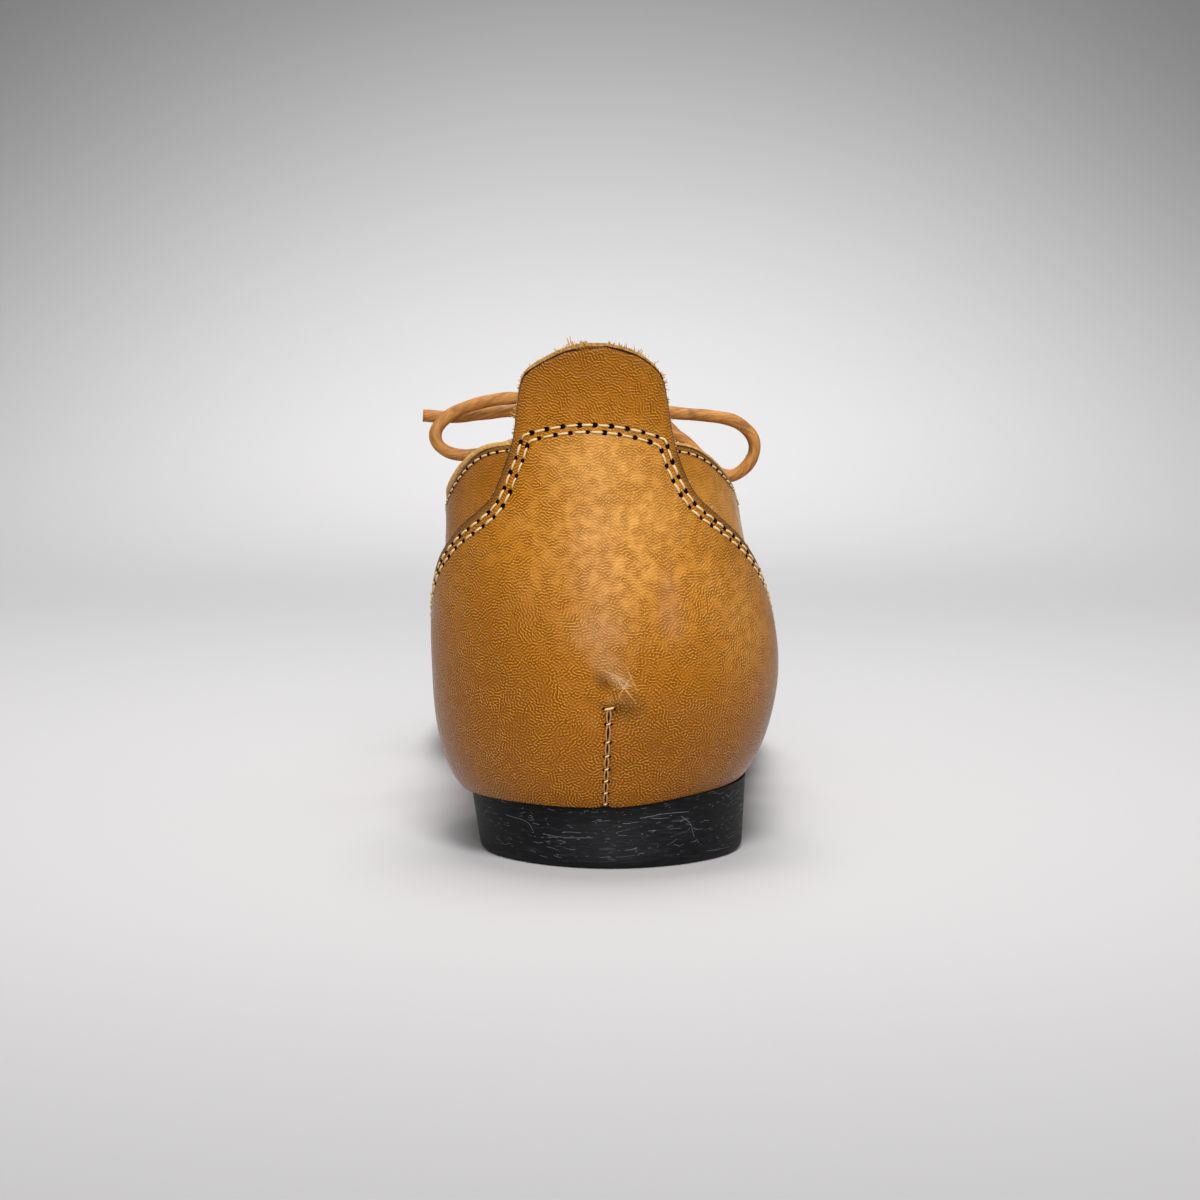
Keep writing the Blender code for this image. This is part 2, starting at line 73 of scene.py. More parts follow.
Section = collections.namedtuple(
    "Section",
    "spine_x spine_y turn feather_r feather_z wide_r wide_z edge_r edge_z arch "
    "medial_in medial_drop lateral_lift",
    defaults=[0.0] * 4,
)
SECTION_ROWS = [
    Section(0.0, 38.0, -90.0, 28.4, 13.3, 33.4, 38.0, 26.5, 88.0),  # heel back
    Section(0.0, 38.0, -45.0, 27.2, 13.6, 33.5, 40.0, 27.4, 87.0, 0.0, 0.0, 0.0, 1.6),  # heel quarter
    Section(0.0, 38.0, 0.0, 26.6, 13.8, 33.7, 42.0, 29.6, 80.0, 0.0, 0.0, 2.0, 2.4),  # heel side
    Section(0.5, 63.0, 0.0, 27.0, 13.5, 34.2, 41.0, 31.0, 76.5, 0.0, 0.8, 2.5, 2.0),  # ankle
    Section(1.2, 88.0, 0.0, 28.2, 12.2, 35.8, 37.0, 26.0, 79.5, 0.3, 2.6, 1.0, 1.0),  # collar front
    Section(1.2, 113.0, 0.0, 30.2, 10.4, 37.8, 33.0, 13.0, 88.0, 0.6, 3.4, 0.0, 0.3),  # throat top
    Section(0.5, 138.0, 0.0, 34.2, 8.2, 40.6, 28.0, 8.0, 80.0, 0.9, 2.6),  # throat middle
    Section(-0.5, 163.0, 0.0, 38.6, 7.2, 44.0, 24.0, 0.0, 68.0, 1.0, 0.8),  # vamp point
    Section(-1.5, 188.0, 0.0, 41.0, 7.1, 46.0, 21.0, 0.0, 58.0, 1.0),  # ball
    Section(-3.4, 213.0, 0.0, 39.4, 7.8, 44.4, 20.5, 0.0, 50.0, 1.0),  # toe joint
    Section(-6.0, 238.0, 0.0, 35.6, 10.2, 40.6, 22.0, 0.0, 45.0, 1.0),  # toe side
    Section(-6.0, 238.0, 45.0, 36.2, 12.8, 41.0, 24.0, 0.0, 45.0, 1.0),  # toe quarter
    Section(-6.0, 238.0, 90.0, 36.4, 15.0, 41.0, 26.0, 0.0, 45.0, 1.0),  # toe tip
]
HEEL_SIDE, TOE_SIDE = 2, 10
TUCK_ANGLE = math.radians(20.0)
LEAN = 3.7
LEAN_FROM, LEAN_TO = 35.0, 85.0
FOOT_LEAN = 0.9
FOOT_LEAN_FROM, FOOT_LEAN_TO = 13.0, 45.0
TAB_FLARE = 0.006

CounterRow = collections.namedtuple("CounterRow", "v medial lateral")
COUNTER_ROWS = [
    CounterRow(*row) for row in (
        (0.00, 3.90, 3.90), (0.50, 3.50, 3.50), (1.00, 2.80, 2.85), (1.43, 1.93, 1.98), (1.57, 1.68, 1.72),
        (1.65, 1.42, 1.53), (1.74, 1.05, 1.20), (1.80, 0.90, 1.02), (1.92, 0.78, 0.88), (2.05, 0.68, 0.78),
        (2.23, 0.61, 0.69), (2.31, 0.55, 0.63), (2.37, 0.33, 0.48), (2.41, 0.10, 0.26), (2.418, 0.02, 0.15),
    )
]
QuarterRow = collections.namedtuple("QuarterRow", "v front")
QUARTER_ROWS = [QuarterRow(0.0, 5.45), QuarterRow(1.0, 5.75), QuarterRow(1.6, 6.25), QuarterRow(2.0, 6.75)]
QUARTER_BACK = 0.02
COLLAR_RISE = 0.040  # how far the collar's edge climbs where it meets the heel tab, as a step of v
COLLAR_RISES_FROM, COLLAR_RISES_OVER = 2.1, 1.3
LINING_SHOWS = {-1: 2.0, 1: 1.0}  # the rim of lining in view over each quarter
LINING_AT_TAB = 0.5
LINING_GROWS_FROM, LINING_GROWS_OVER = 0.7, 1.2

SoleRow = collections.namedtuple("SoleRow", "y z")
SOLE_ROWS = [
    SoleRow(*row) for row in (
        (0.0, 0.0), (60.0, 0.0), (63.0, 5.5), (76.0, 6.2), (110.0, 4.8), (136.0, 1.2),
        (150.0, 0.0), (208.0, 0.0), (238.0, 2.4), (262.0, 6.2), (280.0, 9.8),
    )
]
SOLE_EDGE = 1.6
INSOLE_INSET = 2.6
SolePlan = collections.namedtuple("SolePlan", "top_r tread_r")
SOLE_PLAN = [
    SolePlan(*row) for row in (
        (30.0, 31.6), (30.0, 29.8), (30.2, 28.9), (30.2, 28.9), (30.0, 28.6), (31.2, 29.4), (35.2, 33.4),
        (39.6, 37.8), (42.0, 40.2), (40.4, 38.6), (36.6, 34.8), (37.2, 35.4), (37.4, 35.6),
    )
]
TOP_SHIFT, TREAD_SHIFT = 0.5, 1.1

TONGUE_FRONT, TONGUE_ROUND_FROM, TONGUE_TOP = 6.9, 4.85, 4.42
TONGUE_HALF_WIDTH = 21.0
TONGUE_TOP_HALF_WIDTH = 9.0

EYELET_SECTIONS = {"upper": 5.40, "middle": 5.82, "lower": 6.24}
EYELET_V = 1.80
BAR_RISE = 0.8
KNOT_CENTRE = (-3.0, 117.0, 94.2)
LOOP_MEDIAL = [
    (-10.0, 115.6, 97.8), (-17.0, 115.0, 98.3), (-25.0, 114.8, 98.2), (-32.0, 114.7, 96.9),
    (-38.2, 114.7, 94.4), (-41.9, 114.8, 90.6), (-41.7, 115.1, 87.1), (-38.4, 115.5, 84.7),
    (-33.0, 115.9, 84.2), (-26.0, 116.5, 85.6), (-18.0, 117.1, 89.0), (-10.2, 117.5, 92.2),
]
LOOP_LATERAL = [
    (4.2, 115.5, 96.0), (10.0, 114.9, 95.8), (18.0, 114.7, 94.6), (26.0, 114.7, 93.9),
    (32.2, 114.8, 92.6), (36.3, 115.0, 89.2), (37.1, 115.3, 85.3), (35.1, 115.5, 81.3),
    (31.0, 115.9, 79.0), (26.2, 116.3, 81.2), (19.8, 116.9, 87.6), (12.2, 117.3, 91.6), (4.4, 117.7, 92.4),
]
END_MEDIAL = [
    (-9.6, 120.7, 95.0), (-16.0, 120.9, 95.3), (-24.0, 120.7, 95.1), (-31.0, 120.5, 94.4),
    (-38.4, 120.1, 93.6), (-45.6, 119.5, 94.0),
]
END_LATERAL = [
    (2.4, 120.5, 96.4), (7.6, 123.4, 96.8), (12.4, 126.2, 94.2), (17.2, 127.8, 89.8),
    (22.6, 128.4, 84.0), (27.4, 128.6, 77.4), (31.0, 128.6, 70.4),
]


class SmoothTable:
    """A curve through each column of a table, which never swings past a row's value."""

    def __init__(self, places, rows, straight=()):
        self.places = np.asarray(places, float)
        self.rows = np.asarray(rows, float)
        self.straight = list(straight)
        spans = np.diff(self.places)[:, None]
        steps = np.diff(self.rows, axis=0) / spans
        before, after = steps[:-1], steps[1:]
        same_way = before * after > 0
        early = spans[:-1] + 2.0 * spans[1:]
        late = 2.0 * spans[:-1] + spans[1:]
        weights = np.where(same_way, early * after + late * before, 1.0)
        self.slopes = np.zeros_like(self.rows)
        self.slopes[1:-1] = np.where(same_way, (early + late) * before * after / weights, 0.0)

    def __call__(self, place):
        place = np.asarray(place, float)
        k = np.clip(np.searchsorted(self.places, place) - 1, 0, len(self.places) - 2)
        span = (self.places[k + 1] - self.places[k])[..., None]
        t = np.clip((place - self.places[k])[..., None] / span, 0.0, 1.0)
        low, high = self.rows[k], self.rows[k + 1]
        leave = t * (1.0 - t) ** 2 * span
        arrive = t * t * (t - 1.0) * span
        found = low + (high - low) * t * t * (3.0 - 2.0 * t)
        found = found + leave * self.slopes[k] + arrive * self.slopes[k + 1]
        even = low + (high - low) * t
        found[..., self.straight] = even[..., self.straight]
        return found


EVEN_COLUMNS = [Section._fields.index(name) for name in ("spine_y", "turn")]
sections = SmoothTable(range(len(SECTION_ROWS)), SECTION_ROWS, straight=EVEN_COLUMNS)
counter_table = SmoothTable([row.v for row in COUNTER_ROWS], [row[1:] for row in COUNTER_ROWS])
quarter_table = SmoothTable([row.v for row in QUARTER_ROWS], [[row.front] for row in QUARTER_ROWS])
sole_plan = SmoothTable(range(len(SOLE_PLAN)), SOLE_PLAN)
sole_table = SmoothTable([row.y for row in SOLE_ROWS], [[row.z] for row in SOLE_ROWS])


def section(q):
    return Section(*np.moveaxis(sections(q), -1, 0))


def counter_reach(v, side):
    """How many sections the counter reaches round at a height, on the side with the sign of side."""
    reach = counter_table(v)
    return np.where(np.asarray(side) < 0, reach[..., 0], reach[..., 1])


def quarter_front(v):
    return quarter_table(v)[..., 0]


def place(points):
    """Points of the tables in the shoe's own frame, in metres."""
    return (np.asarray(points, float) + (HEEL_LINE_X, -SHOE_LENGTH / 2, 0.0)) * MM


def ease(t):
    t = np.clip(t, 0.0, 1.0)
    return t * t * (3.0 - 2.0 * t)


def feather_height(row, side):
    return row.feather_z + np.where(side > 0, row.lateral_lift, 0.0)


def profile(row, v, side, layer):
    """The distance out from the spine and the height of the leather at v: 0 sole, 1 widest, 2 edge."""
    inset = np.where(side < 0, row.medial_in, 0.0)
    wide_r = row.wide_r - inset + layer
    foot_r = row.feather_r - inset + layer
    angle = TUCK_ANGLE + (math.pi / 2 - TUCK_ANGLE) * np.minimum(v, 1.0)
    low_r = wide_r - (wide_r - foot_r) * (1.0 - np.sin(angle)) / (1.0 - math.sin(TUCK_ANGLE))
    low_z = row.wide_z - (row.wide_z - feather_height(row, side)) * np.cos(angle) / math.cos(TUCK_ANGLE)
    edge_r = row.edge_r + (1.0 - row.arch) * layer
    edge_z = row.edge_z - np.where(side < 0, row.medial_drop, 0.0) + row.arch * layer
    up = np.maximum(v - 1.0, 0.0)
    rise = (1.0 - row.arch) * up + row.arch * np.sin(np.minimum(up, 1.0) * math.pi / 2)
    wall = 0.5 + 0.5 * np.cos(np.minimum(rise, 1.0) * math.pi)
    dome = np.sqrt(np.maximum(0.0, 1.0 - rise * rise))
    high_r = edge_r + (wide_r - edge_r) * ((1.0 - row.arch) * wall + row.arch * dome)
    high_z = row.wide_z + (edge_z - row.wide_z) * rise
    high_r = high_r + TAB_FLARE * np.maximum(0.0, high_z - edge_z) ** 2
    return np.where(v < 1.0, low_r, high_r), np.where(v < 1.0, low_z, high_z)


def lean_at(row, z):
    collar = LEAN * ease((z - LEAN_FROM) / (LEAN_TO - LEAN_FROM))
    foot = FOOT_LEAN * (1.0 - ease((z - FOOT_LEAN_FROM) / (FOOT_LEAN_TO - FOOT_LEAN_FROM)))
    return (1.0 - row.arch) * (collar + foot)


def side_of(s):
    return np.where(s < 0, -1.0, 1.0)


def skin(s, v, layer):
    """Points of the leather, layer millimetres out from the upper's skin."""
    s, v, layer = np.broadcast_arrays(*(np.asarray(number, float) for number in (s, v, layer)))
    side = side_of(s)
    row = section(np.abs(s))
    r, z = profile(row, v, side, layer)
    turn = np.radians(row.turn)
    x = row.spine_x + side * r * np.cos(turn) - lean_at(row, z)
    return place(np.stack([x, row.spine_y + r * np.sin(turn), z], axis=-1))


def unit(vectors):
    return vectors / np.maximum(np.linalg.norm(vectors, axis=-1, keepdims=True), 1e-12)


def skin_axes(s, v, layer):
    """The steps along s and up v, in metres for each unit, and the outward direction."""
    step = 0.01
    along = (skin(s + step, v, layer) - skin(s - step, v, layer)) / (2.0 * step)
    up = (skin(s, v + step, layer) - skin(s, v - step, layer)) / (2.0 * step)
    return along, up, unit(np.cross(along, up))


def outward(s, v, layer):
    return skin_axes(s, v, layer)[2]


def on_skin(line, layer):
    return skin(line[:, 0], line[:, 1], layer)


def spread(stops, counts):
    runs = [np.linspace(a, b, n, endpoint=False) for a, b, n in zip(stops, stops[1:], counts)]
    return np.append(np.concatenate(runs), stops[-1])


def grid(across, up):
    return np.meshgrid(across, up, indexing="ij")


def both_sides(numbers):
    return np.concatenate([-numbers[:0:-1], numbers])


def reached_along(points):
    """How far along a line of points each of them lies."""
    return np.append(0.0, np.cumsum(np.linalg.norm(np.diff(points, axis=0), axis=1)))


def trough(distance, width):
    """How deep a soft trough is, as a share of its deepest."""
    return np.exp(-((distance / width) ** 2))


def distance_to(points, line):
    """Each point's distance from a line of points, in millimetres."""
    flat = points.reshape(-1, 3)
    least = np.full(len(flat), np.inf)
    for a, b in zip(line, line[1:]):
        span = b - a
        t = np.clip(((flat - a) @ span) / max(span @ span, 1e-18), 0.0, 1.0)
        gap = flat - a - t[:, None] * span
        least = np.minimum(least, np.einsum("ij,ij->i", gap, gap))
    return (np.sqrt(least) / MM).reshape(points.shape[:-1])


def offset_line(line, distance, layer):
    """A line of (s, v) moved by a distance in millimetres over the leather, to the left of its direction."""
    along, up, _ = skin_axes(line[:, 0], line[:, 1], layer)
    scale = np.stack([np.linalg.norm(along, axis=-1), np.linalg.norm(up, axis=-1)], axis=1) / MM
    direction = unit(np.gradient(line, axis=0) * scale)
    left = np.stack([-direction[:, 1], direction[:, 0]], axis=1)
    return line + distance * left / scale


# Mesh making

WELD_DISTANCE, THIN_DISTANCE = 2e-6, 1e-7
WALL_CREASE, SOLE_CREASE = math.radians(50.0), math.radians(40.0)


def added(name, data):
    obj = bpy.data.objects.new(name, data)
    bpy.context.scene.collection.objects.link(obj)
    return obj


def new_object(name, points, faces, looks, look_of_face=None, attributes=None):
    mesh = bpy.data.meshes.new(name)
    mesh.from_pydata(np.asarray(points).tolist(), [], faces if isinstance(faces, list) else faces.tolist())
    for look in looks:
        mesh.materials.append(look)
    if look_of_face is not None:
        mesh.polygons.foreach_set("material_index", np.asarray(look_of_face, np.int32))
    for key, values in (attributes or {}).items():
        kind = "FLOAT" if values.ndim == 1 else "FLOAT_VECTOR"
        layer = mesh.attributes.new(key, kind, "POINT")
        layer.data.foreach_set("value" if kind == "FLOAT" else "vector", values.astype(np.float32).ravel())
    mesh.shade_smooth()
    return added(name, mesh)


def grid_quads(columns, rows):
    c, r = grid(np.arange(columns - 1), np.arange(rows - 1))
    corner = (c * rows + r).ravel()
    return np.stack([corner, corner + rows, corner + rows + 1, corner + 1], axis=1)


def wall(name, inner, outer, looks, attributes=None, trim=None):
    """A closed wall from grids of points: looks are those of the outer face, the inner face and the edge.

    The outer face's quads that trim marks take the edge's look.
    """
    columns, rows = outer.shape[:2]
    count = columns * rows
    quads = grid_quads(columns, rows)
    ids = np.arange(count).reshape(columns, rows)
    rim = np.concatenate([ids[:, 0], ids[-1, 1:], ids[-2::-1, -1], ids[0, -2:0:-1]])
    following = np.roll(rim, -1)
    edge = np.stack([rim, rim + count, following + count, following], axis=1)
    faces = np.concatenate([quads, quads[:, ::-1] + count, edge])
    look_of_face = np.repeat([0, 1, 2], [len(quads), len(quads), len(edge)])
    if trim is not None:
        look_of_face[: len(quads)] = 2 * trim.ravel()
    points = np.concatenate([outer.reshape(-1, 3), inner.reshape(-1, 3)])
    doubled = {}
    for key, values in (attributes or {}).items():
        flat = values.reshape(count, *values.shape[2:])
        doubled[key] = np.concatenate([flat, flat])
    obj = new_object(name, points, faces, looks, look_of_face, doubled)
    weld(obj)
    obj.data.set_sharp_from_angle(angle=WALL_CREASE)
    return obj


def weld(obj):
    """Join points that meet, and take out the edge faces that then lie inside the wall."""
    bm = bmesh.new()
    bm.from_mesh(obj.data)
    bmesh.ops.remove_doubles(bm, verts=bm.verts, dist=WELD_DISTANCE)
    bmesh.ops.dissolve_degenerate(bm, edges=bm.edges, dist=THIN_DISTANCE)
    shared = {edge for edge in bm.edges if len(edge.link_faces) > 2}
    inside = [face for face in bm.faces if len(shared.intersection(face.edges)) > 1]
    bmesh.ops.delete(bm, geom=inside, context="FACES")
    bmesh.ops.recalc_face_normals(bm, faces=bm.faces)
    bm.to_mesh(obj.data)
    bm.free()


def route_points(route, steps):
    """Points of a smooth curve through a route's own points."""
    route = np.asarray(route, float)
    ends = np.vstack([2 * route[0] - route[1], route, 2 * route[-1] - route[-2]])
    made = []
    for before, a, b, after in zip(ends, ends[1:], ends[2:], ends[3:]):
        for t in np.linspace(0.0, 1.0, steps, endpoint=False):
            bend = (2 * before - 5 * a + 4 * b - after) * t * t + (3 * a - before - 3 * b + after) * t**3
            made.append(a + 0.5 * ((b - before) * t + bend))
    made.append(route[-1])
    return np.array(made)


def tube_arrays(points, radii, sides, start_normal=(0.0, 0.0, 1.0)):
    """A closed round tube: its points, its faces, and the angle round it of each point."""
    count = len(points)
    radii = np.broadcast_to(radii, count)
    forward = unit(np.gradient(points, axis=0))
    normal = unit(np.asarray(start_normal, float) - forward[0] * (forward[0] @ start_normal))
    rings = []
    turns = np.linspace(0.0, 2.0 * math.pi, sides, endpoint=False)
    for k in range(count):
        normal = unit(normal - forward[k] * (forward[k] @ normal))
        other = np.cross(forward[k], normal)
        ring = np.cos(turns)[:, None] * normal + np.sin(turns)[:, None] * other
        rings.append(points[k] + radii[k] * ring)
    ids = np.arange(count * sides).reshape(count, sides)
    ahead = np.roll(ids, -1, axis=1)
    quads = np.stack([ids[:-1], ahead[:-1], ahead[1:], ids[1:]], axis=-1).reshape(-1, 4)
    faces = quads.tolist() + [ids[0, ::-1].tolist(), ids[-1].tolist()]
    return np.concatenate(rings), faces, np.tile(turns, count)


def joined(name, parts, look, attributes=None):
    """One object of many small meshes, each given as its points and its faces."""
    points, faces, start = [], [], 0
    for part_points, part_faces in parts:
        points.append(part_points)
        faces += [[k + start for k in face] for face in part_faces]
        start += len(part_points)
    return new_object(name, np.concatenate(points), faces, [look], attributes=attributes)


def piece_of(obj, slot, *nodes):
    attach(obj, "root")
    if nodes:
        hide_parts(*nodes)
    return obj


# Materials


class Look:
    """A material and short ways to add nodes to it."""

    def __init__(self, name):
        self.material = bpy.data.materials.new(name)
        self.material.use_nodes = True
        self.tree = self.material.node_tree
        self.shader = self.tree.nodes["Principled BSDF"]
        self.coords = self.tree.nodes.new("ShaderNodeTexCoord").outputs["Object"]

    def put(self, socket, value):
        if isinstance(value, bpy.types.NodeSocket):
            self.tree.links.new(value, socket)
        elif isinstance(value, tuple) and socket.type == "RGBA":
            socket.default_value = (*value, 1.0)
        else:
            socket.default_value = value

    def node(self, kind, output=0, settings=None, **sockets):
        made = self.tree.nodes.new("ShaderNode" + kind)
        for key, value in (settings or {}).items():
            setattr(made, key, value)
        for key, value in sockets.items():
            self.put(made.inputs[key.replace("_", " ")], value)
        return made.outputs[output]

    def math(self, operation, *values):
        made = self.tree.nodes.new("ShaderNodeMath")
        made.operation = operation
        for socket, value in zip(made.inputs, values):
            self.put(socket, value)
        return made.outputs[0]

    def times(self, a, b):
        return self.math("MULTIPLY", a, b)

    def ramp(self, value, low, high, to_low=0.0, to_high=1.0):
        """A smooth step from to_low at low to to_high at high."""
        return self.node(
            "MapRange", "Result", {"interpolation_type": "SMOOTHSTEP"}, Value=value, From_Min=low,
            From_Max=high, To_Min=to_low, To_Max=to_high,
        )

    def mix(self, factor, a, b):
        """A colour between a and b."""
        made = self.tree.nodes.new("ShaderNodeMix")
        made.data_type = "RGBA"
        factor_at, a_at, b_at, mixed_at = 0, 6, 7, 2  # the sockets for colours
        for k, value in ((factor_at, factor), (a_at, a), (b_at, b)):
            self.put(made.inputs[k], value)
        return made.outputs[mixed_at]

    def blend(self, factor, a, b):
        """A number between a and b."""
        return self.math("MULTIPLY_ADD", factor, self.math("SUBTRACT", b, a), a)

    def noise(self, scale, detail=2.0, coords=None, roughness=0.5):
        coords = coords or self.coords
        return self.node("TexNoise", "Fac", Vector=coords, Scale=scale, Detail=detail, Roughness=roughness)

    def patch(self, mark):
        """1 in the middle of a mark's oval, 0 outside it; the oval is turned about the shoe's length."""
        moved = self.node(
            "Mapping", settings={"vector_type": "TEXTURE"}, Vector=self.coords,
            Location=place(mark.centre).tolist(), Scale=(np.array(mark.radii) * MM).tolist(),
            Rotation=(0.0, -math.radians(mark.turn), 0.0),
        )
        distance = self.node("VectorMath", "Value", {"operation": "LENGTH"}, Vector=moved)
        return self.ramp(distance, 1.0, 0.0)

    def attribute(self, name, output="Fac"):
        return self.node("Attribute", output, {"attribute_name": name})

    def axis(self, letter):
        return self.node("SeparateXYZ", letter, Vector=self.coords)

    def set(self, **sockets):
        for key, value in sockets.items():
            self.put(self.shader.inputs[key.replace("_", " ")], value)

    def bump(self, height, distance, strength=1.0):
        self.set(Normal=self.node("Bump", "Normal", Height=height, Distance=distance, Strength=strength))


# Painted shade, for the wrinkles' creases and low on the heel
TAN_CREASE_SHADE = (0.130, 0.034, 0.0006)
TAN_DARK = (0.184, 0.050, 0.0008)
TAN_MID = (0.400, 0.145, 0.0060)
# Painted highlight, for the wrinkles' ridges
TAN_RIDGE_HIGHLIGHT = (0.640, 0.258, 0.0170)
# A pale tan: the random pale clouds, and painted highlight and sheen where the light falls
TAN_PALE_AND_HIGHLIGHT = (0.630, 0.302, 0.0680)
EDGE_BROWN = (0.105, 0.043, 0.0100)
# Near black: the burnished cut edges, and painted shade in the dart's groove and round the dent at its top
BURNISH_AND_SHADE = (0.022, 0.009, 0.0030)
WRINKLE_CELLS = 0.60  # to a millimetre
WRINKLES_A_CELL = 2.7
LEVEL, ASLANT = math.radians(90.0), math.radians(66.0)
WRINKLE_FAN = math.radians(1000.0)  # how fast the low wrinkles turn across the heel, to a metre
WANDER_LOW, WANDER_HIGH = math.radians(300.0), math.radians(90.0)  # how far they stray at random
EVEN_LOW, EVEN_HIGH = 0.22, 0.48
# The heights, in metres, between which the leather changes
LEVEL_BETWEEN = (0.048, 0.064)
WANDER_BETWEEN = (0.050, 0.066)
EVEN_BETWEEN = (0.030, 0.066)
ASLANT_BETWEEN = (0.090, 0.098)
# Painted shade: between these heights the leather darkens towards the floor
LOW_SHADE_BETWEEN = (0.062, 0.022)
TAB_FOOT_BETWEEN = (0.092, 0.084)

EDGE_BAND = (2.6, 0.9)  # where the brown band along a cut edge starts and is full, in from the edge
BURNISH_FULL = 0.20
# How much painted shade the creases take and how much painted highlight the ridges take
CREASE_SHADE_SHARE, RIDGE_HIGHLIGHT_SHARE = 0.68, 0.62
WRINKLE_DEPTH = 0.00024


def wrinkles(look, way, evenness):
    """Fine winding wrinkles, under a millimetre apart: 0 in the creases and 1 on the ridges between them."""
    made = look.node(
        "TexGabor", "Value", Vector=look.attribute("leather_mm", "Vector"), Scale=WRINKLE_CELLS,
        Frequency=WRINKLES_A_CELL, Anisotropy=evenness, Orientation=way,
    )
    return look.ramp(made, 0.43, 0.63)


def marked(look, colour, marks, uneven):
    """The colour with a list of marks over it, each fainter where the noise is low."""
    share = look.ramp(uneven, 0.25, 0.65, 0.72, 1.0)
    for mark in marks:
        colour = look.mix(look.times(look.times(look.patch(mark), mark.amount), share), colour, mark.tint)
    return colour


def tan_leather(name, light_and_shade=(), scuffs_light_and_shade=(), relief=1.0):
    """Waxed tan leather, wrinkled in every way low down, level above that and aslant on the heel tab.

    The painted light and shade lie under the wrinkles, the scuffs with their painted highlight and shade over
    them. Painted shade fills the creases and darkens the leather towards the floor, and painted highlight
    lightens the ridges.
    """
    look = Look(name)
    height = look.axis("Z")
    fanned = look.math("MULTIPLY_ADD", look.axis("X"), WRINKLE_FAN, LEVEL)
    way = look.blend(look.ramp(height, *LEVEL_BETWEEN), fanned, LEVEL)
    way = look.blend(look.ramp(height, *ASLANT_BETWEEN), way, ASLANT)
    wander = look.math("SUBTRACT", look.noise(95.0, 1.0), 0.5)
    way = look.math("MULTIPLY_ADD", wander, look.ramp(height, *WANDER_BETWEEN, WANDER_LOW, WANDER_HIGH), way)
    grain = wrinkles(look, way, look.ramp(height, *EVEN_BETWEEN, EVEN_LOW, EVEN_HIGH))
    broad = look.noise(24.0, 3.0)
    cloud = look.noise(130.0, 3.0)
    fine = look.noise(3600.0, 2.0)
    colour = look.mix(look.ramp(broad, 0.36, 0.64, 0.30, 1.0), TAN_DARK, TAN_MID)
    colour = look.mix(look.ramp(cloud, 0.35, 0.80, 0.0, 0.20), colour, TAN_PALE_AND_HIGHLIGHT)
    # Painted shade: darker towards the floor, where the heel turns down away from the light
    colour = look.mix(look.ramp(height, *LOW_SHADE_BETWEEN, 0.0, 0.85), colour, TAN_DARK)
    # Painted light and shade, under the wrinkles
    colour = marked(look, colour, light_and_shade, cloud)
    shows = look.ramp(look.noise(420.0, 3.0), 0.30, 0.64, 0.30 * relief, relief)
    # Painted shade in the wrinkles' creases and painted highlight on their ridges
    crease_shade = look.times(look.math("SUBTRACT", 1.0, grain), shows)
    colour = look.mix(look.times(crease_shade, CREASE_SHADE_SHARE), colour, TAN_CREASE_SHADE)
    colour = look.mix(look.times(look.times(grain, shows), RIDGE_HIGHLIGHT_SHARE), colour, TAN_RIDGE_HIGHLIGHT)
    # Scuffs, with painted highlight and shade, over the wrinkles
    colour = marked(look, colour, scuffs_light_and_shade, cloud)
    edge = look.attribute("edge_mm")
    below_tab = look.ramp(height, *TAB_FOOT_BETWEEN, 0.25, 1.0)
    colour = look.mix(look.times(look.ramp(edge, *EDGE_BAND, 0.0, 0.72), below_tab), colour, EDGE_BROWN)
    reach = look.ramp(height, *TAB_FOOT_BETWEEN, 0.40, 0.85)
    colour = look.mix(look.ramp(edge, reach, BURNISH_FULL), colour, BURNISH_AND_SHADE)
    look.set(Base_Color=colour, Roughness=look.ramp(cloud, 0.2, 0.8, 0.22, 0.33))
    look.set(Specular_IOR_Level=0.22, Specular_Tint=(1.0, 0.84, 0.60), Coat_Weight=0.03, Coat_Roughness=0.18)
    look.bump(look.math("MULTIPLY_ADD", grain, shows, look.times(fine, 0.25)), WRINKLE_DEPTH)
    return look.material


def raw_leather(name, colour, dark):
    """The fuzzy flesh side and cut edges."""
    look = Look(name)
    speckle = look.ramp(look.noise(1500.0, 3.0), 0.3, 0.75)
    look.set(Base_Color=look.mix(speckle, dark, colour), Roughness=0.85, Sheen_Weight=0.06)
    look.bump(look.noise(2200.0, 3.0), 0.00025, 0.9)
    return look.material


def plain(name, colour, gloss=0.3):
    look = Look(name)
    darker = tuple(0.7 * channel for channel in colour)
    look.set(Base_Color=look.mix(look.noise(900.0), darker, colour), Roughness=0.7, Specular_IOR_Level=gloss)
    return look.material


def lace_look():
    """Round leather cord: streaks wind round it and its flesh side shows in places."""
    look = Look("lace_cord")
    winding = look.attribute("lace_coords", "Vector")
    streak = look.noise(1.6, 5.0, winding, roughness=0.72)
    wide = look.noise(0.45, 2.0, winding)
    worn = look.noise(150.0, 3.0)
    colour = look.mix(look.ramp(streak, 0.30, 0.66), (0.200, 0.074, 0.013), (0.470, 0.202, 0.046))
    colour = look.mix(look.ramp(wide, 0.58, 0.82, 0.0, 0.40), colour, (0.60, 0.310, 0.105))
    colour = look.mix(look.ramp(worn, 0.58, 0.72, 0.0, 0.55), colour, (0.090, 0.032, 0.008))
    look.set(Base_Color=colour, Roughness=0.62, Specular_IOR_Level=0.25)
    look.bump(look.math("ADD", streak, look.noise(2600.0)), 0.00018, 0.6)
    return look.material


